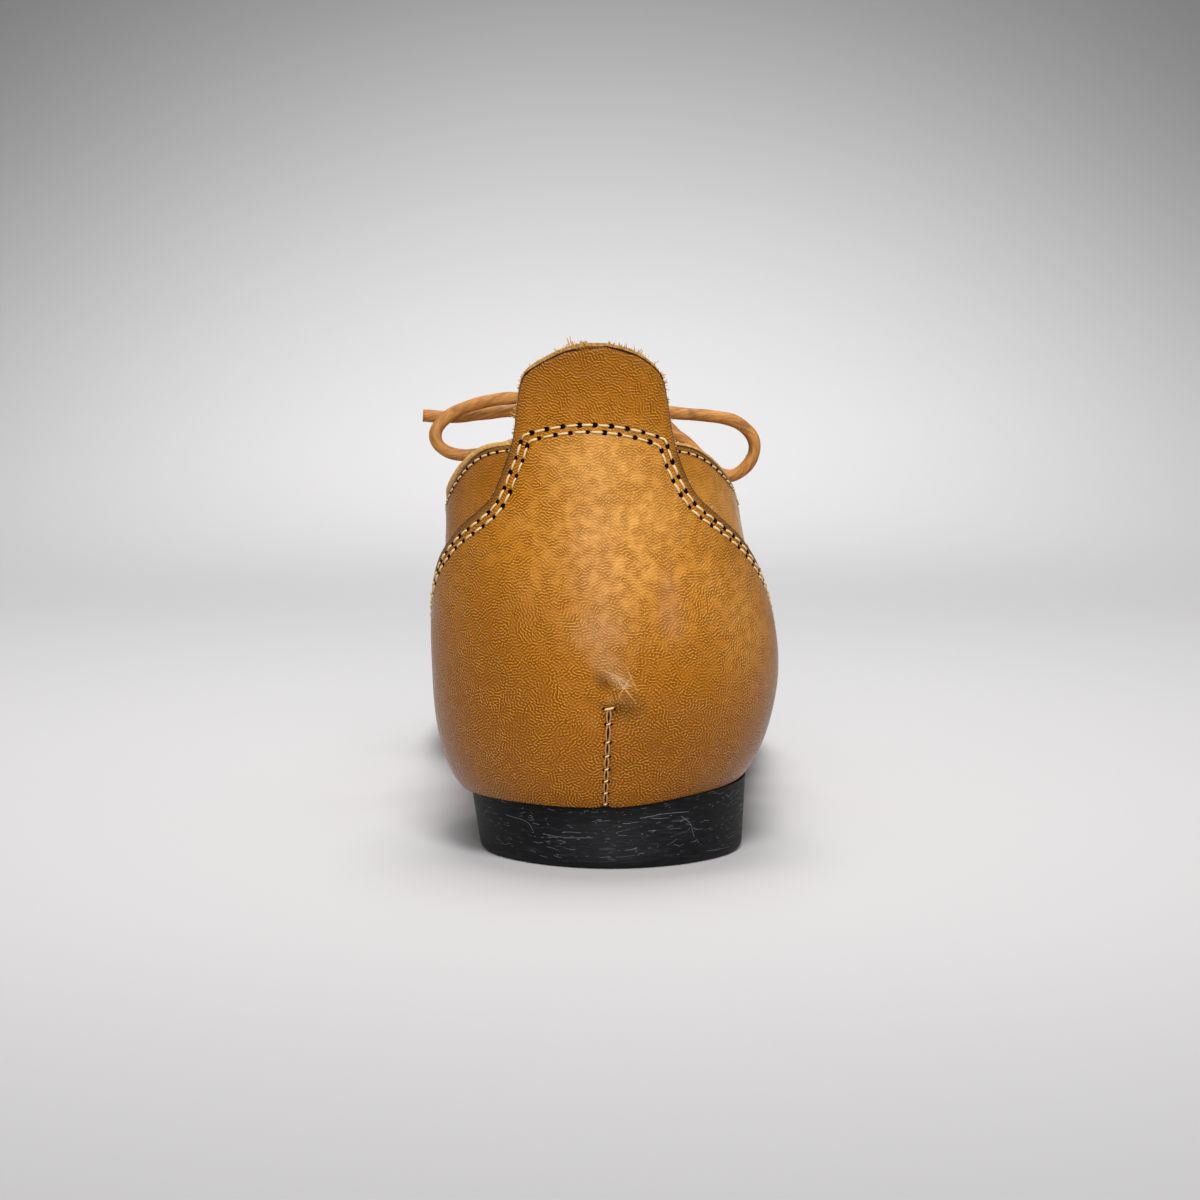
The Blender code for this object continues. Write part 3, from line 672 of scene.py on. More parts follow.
def rubber_look():
    """Dull black rubber, scuffed along the ground."""
    look = Look("black_rubber")
    flattened = look.node("Mapping", Vector=look.coords, Scale=(240.0, 240.0, 2200.0))
    scuffed = look.noise(1.0, 4.0, flattened, roughness=0.65)
    specks = look.ramp(look.noise(2300.0), 0.68, 0.82)
    colour = look.mix(look.ramp(scuffed, 0.48, 0.80), (0.0020, 0.0021, 0.0028), (0.023, 0.023, 0.028))
    colour = look.mix(look.times(specks, 0.5), colour, (0.085, 0.085, 0.095))
    look.set(Base_Color=colour, Roughness=look.ramp(scuffed, 0.3, 0.8, 0.50, 0.72), Specular_IOR_Level=0.16)
    look.bump(scuffed, 0.00035, 0.7)
    return look.material


def floor_look():
    look = Look("studio_floor")
    colour = look.mix(look.noise(3.0), (0.450, 0.444, 0.444), (0.463, 0.456, 0.459))
    look.set(Base_Color=colour, Roughness=0.9, Specular_IOR_Level=0.1)
    return look.material


# Camera, light and floor

CAMERA_X, CAMERA_HEIGHT, CAMERA_DISTANCE = 0.0002, 0.098, 0.520  # the distance is from the back of the heel
CAMERA_PITCH = 4.5
LENS, SENSOR = 76.44, 36.0
Lamp = collections.namedtuple("Lamp", "name location target cone radius power")
LAMPS = [
    Lamp("key", (0.06, -0.86, 1.08), (0.0, -0.06, 0.05), 36.0, 0.20, 56.0),
    Lamp("front", (0.03, -1.30, 0.46), (0.0, -0.10, 0.06), 50.0, 0.32, 40.0),
    Lamp("overhead", (0.0, 0.55, 1.90), (0.0, 0.50, 0.0), 76.0, 0.60, 168.0),
    Lamp("backdrop", (0.0, 0.40, 1.60), (0.0, 1.60, 0.12), 52.0, 0.40, 175.0),
]
WORLD_LIGHT = 0.36
FLOOR_FRONT, FLOOR_BACK, FLOOR_HALF_WIDTH = -4.0, 0.9, 5.0
BACKDROP_RADIUS, BACKDROP_TOP = 1.6, 4.0


def make_camera():
    data = bpy.data.cameras.new("camera")
    data.lens = LENS
    data.sensor_width = SENSOR
    data.clip_start = 0.01
    camera = added("camera", data)
    camera.location = (CAMERA_X, -SHOE_LENGTH / 2 * MM - CAMERA_DISTANCE, CAMERA_HEIGHT)
    camera.rotation_euler = (math.radians(90.0 - CAMERA_PITCH), 0.0, 0.0)
    bpy.context.scene.camera = camera


def make_light(lamp):
    """A soft round lamp whose light fades from the middle of its cone to the rim."""
    data = bpy.data.lights.new(lamp.name, "SPOT")
    data.spot_size = math.radians(lamp.cone)
    data.spot_blend = 1.0
    data.shadow_soft_size = lamp.radius
    data.energy = lamp.power
    light = added(lamp.name, data)
    light.location = lamp.location
    away = mathutils.Vector(lamp.location) - mathutils.Vector(lamp.target)
    light.rotation_euler = away.to_track_quat("Z", "Y").to_euler()


def make_stage():
    """A floor that curves up into a backdrop, far behind the shoe, and the light on it."""
    line = [(FLOOR_FRONT, 0.0)]
    for t in np.linspace(0.0, math.pi / 2, 24):
        line.append((FLOOR_BACK + BACKDROP_RADIUS * math.sin(t), BACKDROP_RADIUS * (1.0 - math.cos(t))))
    line.append((FLOOR_BACK + BACKDROP_RADIUS, BACKDROP_TOP))
    points = [(x, y, z) for y, z in line for x in (-FLOOR_HALF_WIDTH, FLOOR_HALF_WIDTH)]
    faces = [[2 * k, 2 * k + 1, 2 * k + 3, 2 * k + 2] for k in range(len(line) - 1)]
    stage = new_object("studio_floor", points, faces, [floor_look()])
    scene = bpy.context.scene
    scene.world = bpy.data.worlds.new("studio")
    scene.world.use_nodes = True
    background = scene.world.node_tree.nodes["Background"]
    background.inputs["Color"].default_value = (1.0, 1.0, 1.0, 1.0)
    background.inputs["Strength"].default_value = WORLD_LIGHT
    scene.view_settings.view_transform = "Standard"
    for lamp in LAMPS:
        make_light(lamp)


make_camera()
make_stage()

# The lace

LACE_SIDES = 18
# How the lace swells along its length: the share, the radians to a metre, and each strand's shift
LACE_SWELLS = ((0.025, 900.0, 1.0), (0.02, 370.0, 2.0))
LACE_TWIST = 210.0  # how far the streaks wind round the lace, in radians to a metre
STREAK_LENGTHS, STREAK_RADIUS, STRAND_SHIFT = 130.0, 1.3, 7.0  # in the streaks' own coordinates
KNOT_TURNS, KNOT_HALF_WIDTH, KNOT_DEPTH, KNOT_HEIGHT = 2.15, 2.9, 2.7, 3.8
KNOT_DRAW = (0.1, 0.35, 0.45)  # how far from the knot's centre the strands end, as shares of their entry
KNOT_SEED = 10
lace_material = lace_look()


def lace_piece(node, strands, seed):
    """A piece of the round lace, of one strand or more, with the coordinates that wind its streaks."""
    parts, coords = [], []
    for strand_seed, strand in enumerate(strands, seed):
        reached = reached_along(strand)
        uneven = 1.0
        for share, waves, shift in LACE_SWELLS:
            uneven = uneven + share * np.sin(reached * waves + shift * strand_seed)
        points, faces, turns = tube_arrays(strand, LACE_DIAMETER / 2 * MM * uneven, LACE_SIDES)
        along = np.repeat(reached, LACE_SIDES)
        wound = turns + along * LACE_TWIST
        lengthwise = along * STREAK_LENGTHS + STRAND_SHIFT * strand_seed
        round_it = STREAK_RADIUS * np.stack([np.cos(wound), np.sin(wound)], axis=1)
        coords.append(np.column_stack([lengthwise, round_it]))
        parts.append((points, faces))
    piece = joined("visible_" + node, parts, lace_material, {"lace_coords": np.concatenate(coords)})
    return piece_of(piece, "lace", node)


def make_cord(node, route, seed):
    points = place(route_points(route, 12))
    lace_piece(node, [points], seed)


def make_knot():
    """Two turns of lace round the strands that come together in the knot."""
    turns = np.linspace(0.0, KNOT_TURNS * 2.0 * math.pi, 70)
    across = np.linspace(-KNOT_HALF_WIDTH, KNOT_HALF_WIDTH, len(turns))
    wrap = np.stack([across, KNOT_DEPTH * np.cos(turns), KNOT_HEIGHT * np.sin(turns)], axis=1) + KNOT_CENTRE
    strands = [wrap]
    for route in (LOOP_MEDIAL, LOOP_MEDIAL[::-1], LOOP_LATERAL, LOOP_LATERAL[::-1], END_MEDIAL, END_LATERAL):
        entry = np.array(route[0])
        core = np.array(KNOT_CENTRE) + (entry - KNOT_CENTRE) * KNOT_DRAW
        strands.append(route_points([entry, (entry + core) / 2, core], 6))
    lace_piece("lace_knot", [place(strand) for strand in strands], KNOT_SEED)


def make_bar(name, q):
    """A bar of lace, from inside the shoe out through one hole, over the throat and in through the other."""
    stops = [
        (EYELET_V, -UPPER_WALL - 2.0), (EYELET_V, QUARTER_IN), (EYELET_V + 0.015, LACE_LAYER - 1.0),
        (EYELET_V + 0.06, LACE_LAYER), (EYELET_V + 0.12, LACE_LAYER), (2.0, LACE_LAYER),
    ]
    medial, lateral = [[skin(side * q, v, layer) for v, layer in stops] for side in (-1, 1)]
    middle = (medial[-1] + lateral[-1]) / 2.0 + (0.0, 0.0, BAR_RISE * MM)
    lace_piece(f"lace_bar_{name}", [route_points([*medial, middle, *lateral[::-1]], 7)], len(name))


make_cord("lace_loop_medial", LOOP_MEDIAL, 1)
make_cord("lace_loop_lateral", LOOP_LATERAL, 2)
make_cord("lace_end_medial", END_MEDIAL, 3)
make_cord("lace_end_lateral", END_LATERAL, 4)
make_knot()
for bar_name, bar_section in EYELET_SECTIONS.items():
    make_bar(bar_name, bar_section)

# Leather

PINK_SMEAR = (0.36, 0.150, 0.062)
PALE_SCUFF = (0.62, 0.37, 0.19)
SCUFF_WIDTH = 0.28
Mark = collections.namedtuple("Mark", "centre radii tint amount turn", defaults=[0.0])
# Painted light and shade on the heel: painted highlight over its upper middle and lateral side, painted shade
# on its medial side, low down and on the tab
HEEL_LIGHT_AND_SHADE = [
    Mark((5.0, 2.0, 70.0), (31.0, 30.0, 29.0), TAN_PALE_AND_HIGHLIGHT, 0.92),
    Mark((0.0, 2.0, 86.0), (22.0, 20.0, 9.0), TAN_PALE_AND_HIGHLIGHT, 1.0),
    Mark((30.0, 16.0, 52.0), (16.0, 20.0, 24.0), TAN_PALE_AND_HIGHLIGHT, 0.45),
    Mark((-24.0, 12.0, 50.0), (11.0, 20.0, 17.0), TAN_DARK, 0.45),
    Mark((-22.0, 14.0, 36.0), (22.0, 24.0, 19.0), TAN_DARK, 0.95),
    Mark((10.0, 3.0, 27.0), (20.0, 20.0, 15.0), TAN_CREASE_SHADE, 0.60),
    Mark((-7.0, 4.0, 103.0), (34.0, 30.0, 15.0), TAN_DARK, 0.80),
]
# Over the wrinkles: painted highlight on the upper middle, painted shade in the dart's groove and round the
# dent, a pink smear and pale scuffs
HEEL_SCUFFS_LIGHT_AND_SHADE = [
    # Painted highlight
    Mark((0.0, 2.0, 86.0), (20.0, 20.0, 9.0), TAN_PALE_AND_HIGHLIGHT, 0.45),
    Mark((10.0, 3.0, 76.0), (14.0, 20.0, 12.0), TAN_PALE_AND_HIGHLIGHT, 0.35),
    Mark((13.2, 3.0, 56.0), (4.4, 12.0, 12.5), PINK_SMEAR, 0.62, 6.0),
    # Painted shade in the dart's groove and round the dent at its top
    Mark((0.5, 1.0, 24.0), (1.7, 10.0, 14.0), BURNISH_AND_SHADE, 0.30),
    Mark((4.0, 1.0, 34.6), (6.0, 10.0, 5.0), BURNISH_AND_SHADE, 0.50),
    Mark((-0.6, 1.0, 40.4), (4.2, 10.0, 3.2), BURNISH_AND_SHADE, 0.50, -35.0),
    # Pale scuffs round the dent
    Mark((2.6, 1.0, 40.4), (4.0, 10.0, 2.2), PALE_SCUFF, 0.45, -30.0),
    Mark((0.4, 1.0, 43.6), (6.0, 10.0, 4.0), PALE_SCUFF, 0.28, -20.0),
    Mark((-2.0, 1.0, 50.0), (8.0, 10.0, 6.0), PALE_SCUFF, 0.18),
    Mark((3.8, 1.0, 38.7), (4.6, 10.0, SCUFF_WIDTH), PALE_SCUFF, 0.85, -52.0),
    Mark((3.9, 1.0, 39.2), (3.6, 10.0, SCUFF_WIDTH), PALE_SCUFF, 0.85, 58.0),
    Mark((3.6, 1.0, 39.0), (3.2, 10.0, SCUFF_WIDTH), PALE_SCUFF, 0.80, 12.0),
    Mark((1.6, 1.0, 41.4), (5.0, 10.0, SCUFF_WIDTH), PALE_SCUFF, 0.75, -28.0),
    Mark((5.2, 1.0, 40.8), (4.0, 10.0, SCUFF_WIDTH), PALE_SCUFF, 0.65, -66.0),
]
# Painted sheen and light: the lateral quarter paler, where it faces the light and turns away from view
SIDE_SHEEN = [Mark((31.0, 40.0, 72.0), (30.0, 60.0, 26.0), TAN_PALE_AND_HIGHLIGHT, 0.85)]
heel_leather = tan_leather("heel_leather", HEEL_LIGHT_AND_SHADE, HEEL_SCUFFS_LIGHT_AND_SHADE)
side_leather = tan_leather("side_leather", SIDE_SHEEN, relief=0.55)
vamp_leather = tan_leather("vamp_leather", relief=0.7)
lining = raw_leather("lining", (0.56, 0.36, 0.155), (0.38, 0.21, 0.075))
cut_edge = raw_leather("cut_edge", (0.090, 0.042, 0.014), (0.025, 0.010, 0.004))
light_edge = raw_leather("light_edge", (0.74, 0.41, 0.120), (0.50, 0.25, 0.060))
golden_edge = raw_leather("golden_edge", (0.60, 0.335, 0.085), (0.33, 0.155, 0.030))
fibre_look = raw_leather("loose_fibres", (0.62, 0.345, 0.085), (0.33, 0.155, 0.030))
thread_look = plain("cream_thread", (0.74, 0.53, 0.25))
strand_look = plain("waxed_thread", (0.40, 0.205, 0.070))
# Painted shade: near black for the insides of the stitch holes and the dart's slit
hole_shade_look = plain("stitch_hole_shade", (0.007, 0.003, 0.001), 0.0)

# Where the leather is stitched, pressed and folded
ROW_INSETS = (2.30, 3.95)  # the two rows of stitches, in from the counter's edge
TOP_ARCHES = ((2.095, 0.107), (2.066, 0.120))  # each row across the tab's foot: v in the middle, and its fall
ROWS_FROM_V, ROWS_TO_V = 0.04, 2.12
COLLAR_ROW_INSET = 1.4
COLLAR_ROW_ENDS = (0.70, 6.62)
FRONT_ROW_TOP = 1.93
GROOVE_DEPTH, GROOVE_WIDTH = 0.22, 0.6
EDGE_ROUND = 0.8  # how far in from a cut edge its rounding starts
COUNTER_EDGE_DROP, QUARTER_EDGE_DROP = 0.55, 0.5
SECTION_MM = 25.3  # the width of one section at the heel's back
DART_S = 0.027
DART_NODES = (0.892, 0.790, 0.663, 0.559, 0.452, 0.344, 0.213, 0.050)
DART_DEPTH, DART_WIDTH = 0.60, 1.0
DENT_LINE = ((0.02, 0.90), (0.07, 0.98))
DENT_DEPTH, DENT_WIDTH = 1.60, 3.8
# The folds that fan out from the dart's top end: the far end of each, as s and v, and its height
DENT_FOLDS = (
    (-0.10, 0.99, 0.34), (-0.02, 1.07, 0.28), (0.11, 1.06, 0.42), (0.19, 0.98, 0.36), (0.20, 0.90, 0.30),
)
FOLDS_FROM, FOLD_WIDTH = (DART_S, 0.91), 0.9
FLEX_CREASES = ((7.45, 0.5), (7.8, 0.7), (8.2, 0.45))  # the section of each on the vamp, and its depth
FLEX_WIDTH, FLEX_SLANT, FLEX_FROM, FLEX_FROM_V, FLEX_FADE = 0.11, 0.25, 7.0, 1.25, 0.4
QUARTER_BENDS_FROM = 1.85
COLLAR_LINING_FROM, COLLAR_LINING_END = 1.86, 4.7  # where the upper's outside is lining, in v and sections
LINING_TURNS = (1.9, 1.2)  # how far the lining turns out over the collar, medial and lateral
LINING_TURNS_FROM, LINING_TURNS_OVER = 1.962, 0.022
LINING_TURNS_END, LINING_TURNS_FADE = 4.4, 0.6
COLLAR_BENDS_FROM, COLLAR_BENDS_OVER = 1.6, 0.4
TAB_LINING_FROM, TAB_LINING_RISES_FROM, TAB_LINING_RISES_OVER = 1.93, 2.25, 0.1
TAB_LINING_SHOWS = (0.036, 0.018)  # how far it stands out past the tab's sides, in sections
TAB_LINING_RISE = 0.014
TAB_LINING_GAP = 0.08  # between it and the counter


def counter_edge(side, v):
    return np.stack([side * counter_reach(v, side), v], axis=1)


def counter_outline(lowest):
    """The counter's edge as (s, v), from v = lowest on the medial side over the tab to the lateral side."""
    v = np.linspace(lowest, COUNTER_ROWS[-1].v, 240)
    return np.concatenate([counter_edge(-1, v), counter_edge(1, v)[::-1]])


def counter_rows():
    """The two rows of stitches: up along the edge, across the foot of the tab and down the other edge."""
    v = np.linspace(ROWS_FROM_V, ROWS_TO_V, 220)
    made = []
    for inset, (middle, fall) in zip(ROW_INSETS, TOP_ARCHES):
        flanks = []
        for side in (-1, 1):
            line = offset_line(counter_edge(side, v), side * inset, COUNTER_OUT)
            flanks.append(line[line[:, 1] < middle - fall * line[:, 0] ** 2 - 0.008])
        medial, lateral = flanks
        s = np.linspace(medial[-1, 0], lateral[-1, 0], 60)[1:-1]
        top = np.stack([s, middle - fall * s**2], axis=1)
        made.append(np.concatenate([medial, top, lateral[::-1]]))
    return made


def collar_v(q):
    """The height of the collar's edge."""
    return 2.0 + COLLAR_RISE * ease((COLLAR_RISES_FROM - q) / COLLAR_RISES_OVER)


def quarter_edge_v(q, side):
    """The height of the quarter's edge, which leaves a rim of the lining in view."""
    row = section(q)
    grown = ease((q - LINING_GROWS_FROM) / LINING_GROWS_OVER)
    shows = LINING_AT_TAB + (LINING_SHOWS[side] - LINING_AT_TAB) * grown
    return collar_v(q) - shows / (row.edge_z - row.wide_z)


def quarter_row(side):
    """The row of stitches along the collar and the throat and down the quarter's front edge."""
    q = np.linspace(*COLLAR_ROW_ENDS, 160)
    collar = np.stack([side * q, quarter_edge_v(q, side)], axis=1)
    v = np.linspace(FRONT_ROW_TOP, ROWS_FROM_V, 80)
    front = np.stack([side * quarter_front(v), v], axis=1)
    return offset_line(np.concatenate([collar, front]), -side * COLLAR_ROW_INSET, QUARTER_OUT)


def rounded(edge_mm, drop):
    """How far a face falls away near its cut edge."""
    return drop * np.clip(1.0 - edge_mm / EDGE_ROUND, 0.0, 1.0) ** 2


def leather_marks(edge_mm, around, up):
    """What the leather's look reads: the distance from the cut edge, and the place on the hide."""
    return {"edge_mm": edge_mm, "leather_mm": np.stack([around, up, np.zeros(up.shape)], axis=-1)}


def lengths_from_top(points):
    """How far each point of a grid lies from the last point of its column, in millimetres."""
    steps = np.linalg.norm(np.diff(points, axis=1), axis=-1) / MM
    down = np.cumsum(steps[:, ::-1], axis=1)[:, ::-1]
    return np.concatenate([down, np.zeros((len(points), 1))], axis=1)


def make_counter():
    """The heel piece: stitched grooves, a rounded cut edge, and the dents round the dart."""
    shares = both_sides(1.0 - np.linspace(1.0, 0.0, 118) ** 1.3)
    heights = spread([0.0, 1.0, 2.0, COUNTER_ROWS[-1].v], [44, 84, 44])
    share, v = grid(shares, heights)
    s = share * counter_reach(v, share)
    outer = skin(s, v, COUNTER_OUT)
    dart = skin(DART_S, np.linspace(0.0, DART_NODES[0], 12), COUNTER_OUT)
    dent = on_skin(np.array(DENT_LINE), COUNTER_OUT)
    presses = [(on_skin(row[::3], COUNTER_OUT), GROOVE_DEPTH, GROOVE_WIDTH) for row in counter_rows()]
    presses += [(dart, DART_DEPTH, DART_WIDTH), (dent, DENT_DEPTH, DENT_WIDTH)]
    for end_s, end_v, height in DENT_FOLDS:
        fold = on_skin(np.array([FOLDS_FROM, (end_s, end_v)]), COUNTER_OUT)
        presses.append((fold, -height, FOLD_WIDTH))
    edge_mm = distance_to(outer, on_skin(counter_outline(0.0)[::3], COUNTER_OUT))
    sink = rounded(edge_mm, COUNTER_EDGE_DROP)
    for line, depth, width in presses:
        sink = sink + depth * trough(distance_to(outer, line), width)
    outer = outer - outward(s, v, COUNTER_OUT) * (sink * MM)[..., None]
    hide = leather_marks(edge_mm, SECTION_MM * s, outer[..., 2] / MM)
    obj = wall("visible_counter", skin(s, v, COUNTER_IN), outer, [heel_leather, lining, cut_edge], hide)
    return piece_of(obj, "upper_leather", "counter")


def make_tab_lining():
    """The pale lining behind the heel tab, which shows past the leather's edge."""
    shares = both_sides(1.0 - np.linspace(1.0, 0.0, 40) ** 1.35)
    heights = spread([TAB_LINING_FROM, COUNTER_ROWS[-1].v], [46])
    share, v = grid(shares, heights)
    s = share * (counter_reach(v, share) + np.where(share < 0, *TAB_LINING_SHOWS))
    raised = v + TAB_LINING_RISE * ease((v - TAB_LINING_RISES_FROM) / TAB_LINING_RISES_OVER)
    outer = skin(s, raised, COUNTER_IN - TAB_LINING_GAP)
    obj = wall("tab_lining", skin(s, raised, QUARTER_IN), outer, [golden_edge, lining, golden_edge])
    return piece_of(obj, "upper_leather")


def make_quarter(side, node):
    shares = spread([0.0, 0.32, 0.92, 1.0], [50, 64, 16])
    heights = spread([0.0, 1.0, 1.88, 2.0], [24, 44, 14])
    share, v = grid(shares, heights)
    q = QUARTER_BACK + (quarter_front(v) - QUARTER_BACK) * share
    s = side * q
    v = v - (2.0 - quarter_edge_v(q, side)) * ease((v - QUARTER_BENDS_FROM) / (2.0 - QUARTER_BENDS_FROM))
    outer = skin(s, v, QUARTER_OUT)
    inner = skin(s, v, QUARTER_IN)
    rim = np.concatenate([outer[:, -1], outer[-1, ::-1]])
    edge_mm = distance_to(outer, rim[::2])
    sink = rounded(edge_mm, QUARTER_EDGE_DROP)
    sink = sink + GROOVE_DEPTH * trough(edge_mm - COLLAR_ROW_INSET, GROOVE_WIDTH)
    outer = outer - outward(s, v, QUARTER_OUT) * (sink * MM)[..., None]
    hide = leather_marks(edge_mm, SECTION_MM * s, outer[..., 2] / MM)
    if side < 0:
        outer, inner = outer[::-1], inner[::-1]
        hide = {key: values[::-1] for key, values in hide.items()}
    obj = wall("visible_" + node, inner, outer, [side_leather, lining, cut_edge], hide)
    return piece_of(obj, "upper_leather", node)


def make_upper():
    """Vamp and lining in one wall, with soft flex creases behind the ball."""
    columns = both_sides(spread([0, 2, 4, 7, 10, 12], [26, 20, 40, 26, 30]))
    heights = spread([0.0, 1.0, 1.9, 2.0], [18, 32, 16])
    s, v = grid(columns, heights)
    q = np.abs(s)
    turned_out = np.where(s < 0, *LINING_TURNS) * ease((LINING_TURNS_END - q) / LINING_TURNS_FADE)
    raised = v + (collar_v(q) - 2.0) * ease((v - COLLAR_BENDS_FROM) / COLLAR_BENDS_OVER)
    outer = skin(s, raised, turned_out * ease((v - LINING_TURNS_FROM) / LINING_TURNS_OVER))
    for crease, depth in FLEX_CREASES:
        over = trough(q - crease - FLEX_SLANT * (2.0 - v), FLEX_WIDTH)
        outer[..., 2] -= depth * over * ease((v - FLEX_FROM_V) / FLEX_FADE) * (q > FLEX_FROM) * MM
    no_edge = np.full(s.shape, 20.0)
    hide = leather_marks(no_edge, SECTION_MM * q, lengths_from_top(outer))
    collar = (v > COLLAR_LINING_FROM) & (q < COLLAR_LINING_END)
    inner = skin(s, raised, -UPPER_WALL)
    obj = wall("visible_upper", inner, outer, [vamp_leather, lining, light_edge], hide, collar[1:, 1:])
    return piece_of(obj, "upper_leather", "upper")


make_counter()
make_tab_lining()
quarters = {-1: make_quarter(-1, "quarter_medial"), 1: make_quarter(1, "quarter_lateral")}
upper = make_upper()


def punch_holes():
    """The lace holes, through each quarter and the upper behind it."""
    for side, quarter in quarters.items():
        parts = []
        for q in EYELET_SECTIONS.values():
            line = skin(side * q, EYELET_V, np.linspace(-2.0 * UPPER_WALL, 2.0 * QUARTER_OUT, 2))
            parts.append(tube_arrays(line, EYELET_DIAMETER / 2 * MM, 20)[:2])
        punch = joined(f"lace_hole_punch_{side}", parts, cut_edge)
        for obj in (quarter, upper):
            modifier = obj.modifiers.new("lace_holes", "BOOLEAN")
            modifier.operation = "DIFFERENCE"
            modifier.solver = "EXACT"
            modifier.object = punch
            evaluated = obj.evaluated_get(bpy.context.evaluated_depsgraph_get())
            punched = bpy.data.meshes.new_from_object(evaluated)
            obj.modifiers.clear()
            obj.data = punched
        bpy.data.objects.remove(punch)


punch_holes()

# Sole, insole and tongue


def footprint(s, share, reach):
    """Points of the floor plan at a share of the reach from the spine, and their distance from it."""
    row = section(np.abs(s))
    side = side_of(s)
    r = share * (reach - np.where(s < 0, row.medial_in, 0.0))
    turn = np.radians(row.turn)
    return row.spine_x + side * r * np.cos(turn), row.spine_y + r * np.sin(turn), r


def seat_height(s, r):
    level = section(np.clip(np.abs(s), HEEL_SIDE, TOE_SIDE)).feather_z
    row = section(np.abs(s))
    edge = feather_height(row, side_of(s))
    return level + (edge - level) * np.minimum(r / row.feather_r, 1.0) ** 2


def sole_top(s, share):
    x, y, r = footprint(s, share, sole_plan(np.abs(s))[..., 0])
    return place(np.stack([x + TOP_SHIFT, y, seat_height(s, r) - SEAT_GAP], axis=-1))


def sole_bottom(s, share):
    tread_r = sole_plan(np.abs(s))[..., 1]
    x, y, r = footprint(s, share, tread_r)
    full = footprint(s, 1.0, tread_r)[2]
    into = np.clip(SOLE_EDGE - (full - r), 0.0, SOLE_EDGE)
    z = sole_table(y)[..., 0] + SOLE_EDGE - np.sqrt(SOLE_EDGE**2 - into**2)
    return place(np.stack([x + TREAD_SHIFT, y, z], axis=-1))


def sole_side(s, down):
    """Points of the sole's side wall, from its top edge, 0, to its bottom edge, 1."""
    down = np.asarray(down, float)[..., None]
    return sole_top(s, 1.0) * (1.0 - down) + sole_bottom(s, 1.0) * down


TREAD_FLAT = 0.94  # the tread is flat up to this share of the way out


def make_outsole(look):
    heel_ends, arch_starts = SOLE_ROWS[1].y, SOLE_ROWS[2].y
    breast = np.interp([heel_ends, arch_starts], [row.spine_y for row in SECTION_ROWS[2:4]], [2.0, 3.0])
    columns = both_sides(spread([0, 2, *breast, 4, 10, 12], [26, 10, 5, 8, 60, 26]))
    rounding = TREAD_FLAT + (1.0 - TREAD_FLAT) * (1.0 - np.linspace(0.0, 1.0, 12) ** 2)
    tops = [sole_top(columns, share) for share in np.linspace(0.0, 0.97, 8)]
    sides = [sole_side(columns, down) for down in np.linspace(0.0, 1.0, 14)]
    bottoms = [sole_bottom(columns, share) for share in (*rounding[1:], 0.6, 0.3, 0.0)]
    points = np.stack([*tops, *sides, *bottoms], axis=1)
    count, rows = points.shape[:2]
    obj = new_object("visible_outsole", points.reshape(-1, 3), grid_quads(count, rows), [look])
    weld(obj)
    obj.data.set_sharp_from_angle(angle=SOLE_CREASE)
    return piece_of(obj, "sole_rubber", "outsole")


def make_insole(look):
    columns = spread([0, 2, 10, 12], [20, 60, 20])
    shares = both_sides(np.linspace(0.0, 1.0, 14))
    share, q = grid(shares, columns)
    s = np.where(share < 0, -q, q)

    def sheet(lift):
        row = section(q)
        x, y, r = footprint(s, np.abs(share), row.feather_r - INSOLE_INSET)
        z = seat_height(s, r)
        return place(np.stack([x - lean_at(row, z), y, z + lift], axis=-1))

    obj = wall("visible_insole", sheet(0.0), sheet(INSOLE_WALL), [look, look, look])
    return piece_of(obj, "footbed", "insole")


def inside_height(q, side, r, layer):
    """How high the inside of the upper is over a point r from the spine, bridging the open throat."""
    row = section(q)
    edge_r, edge_z = profile(row, np.full(q.shape, 2.0), side, layer)
    near_r, near_z = profile(row, np.full(q.shape, 1.95), side, layer)
    slope = (edge_z - near_z) / np.maximum(near_r - edge_r, 1e-6)
    bridge = edge_z + slope * (edge_r**2 - r**2) / (2.0 * np.maximum(edge_r, 1e-6))
    low, high = np.full(q.shape, 1.0), np.full(q.shape, 2.0)
    for _ in range(30):
        middle = (low + high) / 2.0
        outside = profile(row, middle, side, layer)[0] > r
        low = np.where(outside, middle, low)
        high = np.where(outside, high, middle)
    return np.where(r < edge_r, bridge, profile(row, low, side, layer)[1])


def make_tongue():
    along = spread([TONGUE_TOP, TONGUE_ROUND_FROM, TONGUE_FRONT], [22, 40])
    across, q = grid(np.linspace(-1.0, 1.0, 41), along)
    past = np.clip((TONGUE_ROUND_FROM - q) / (TONGUE_ROUND_FROM - TONGUE_TOP), 0.0, 1.0)
    narrowing = 1.0 - np.sqrt(1.0 - past**2)
    half = TONGUE_HALF_WIDTH + (TONGUE_TOP_HALF_WIDTH - TONGUE_HALF_WIDTH) * narrowing
    row = section(q)
    side = side_of(across)

    def sheet(layer):
        z = inside_height(q, side, np.abs(across) * half, layer)
        return place(np.stack([row.spine_x + across * half - lean_at(row, z), row.spine_y, z], axis=-1))

    outer = sheet(-UPPER_WALL - TONGUE_GAP)
    inner = sheet(-UPPER_WALL - TONGUE_GAP - TONGUE_WALL)
    rim = np.concatenate([outer[0, ::-1], outer[:, 0], outer[-1]])
    hide = leather_marks(distance_to(outer, rim), across * half, lengths_from_top(outer))
    obj = wall("visible_tongue", inner, outer, [vamp_leather, lining, cut_edge], hide)
    return piece_of(obj, "upper_leather", "tongue")


make_outsole(rubber_look())
make_insole(raw_leather("footbed_leather", (0.52, 0.34, 0.17), (0.36, 0.21, 0.09)))
make_tongue()

# Stitches

THREAD_RADIUS = 0.25
STITCH_PITCH, COLLAR_PITCH = 3.40, 2.60
COLLAR_STITCH_SIZE = 0.72
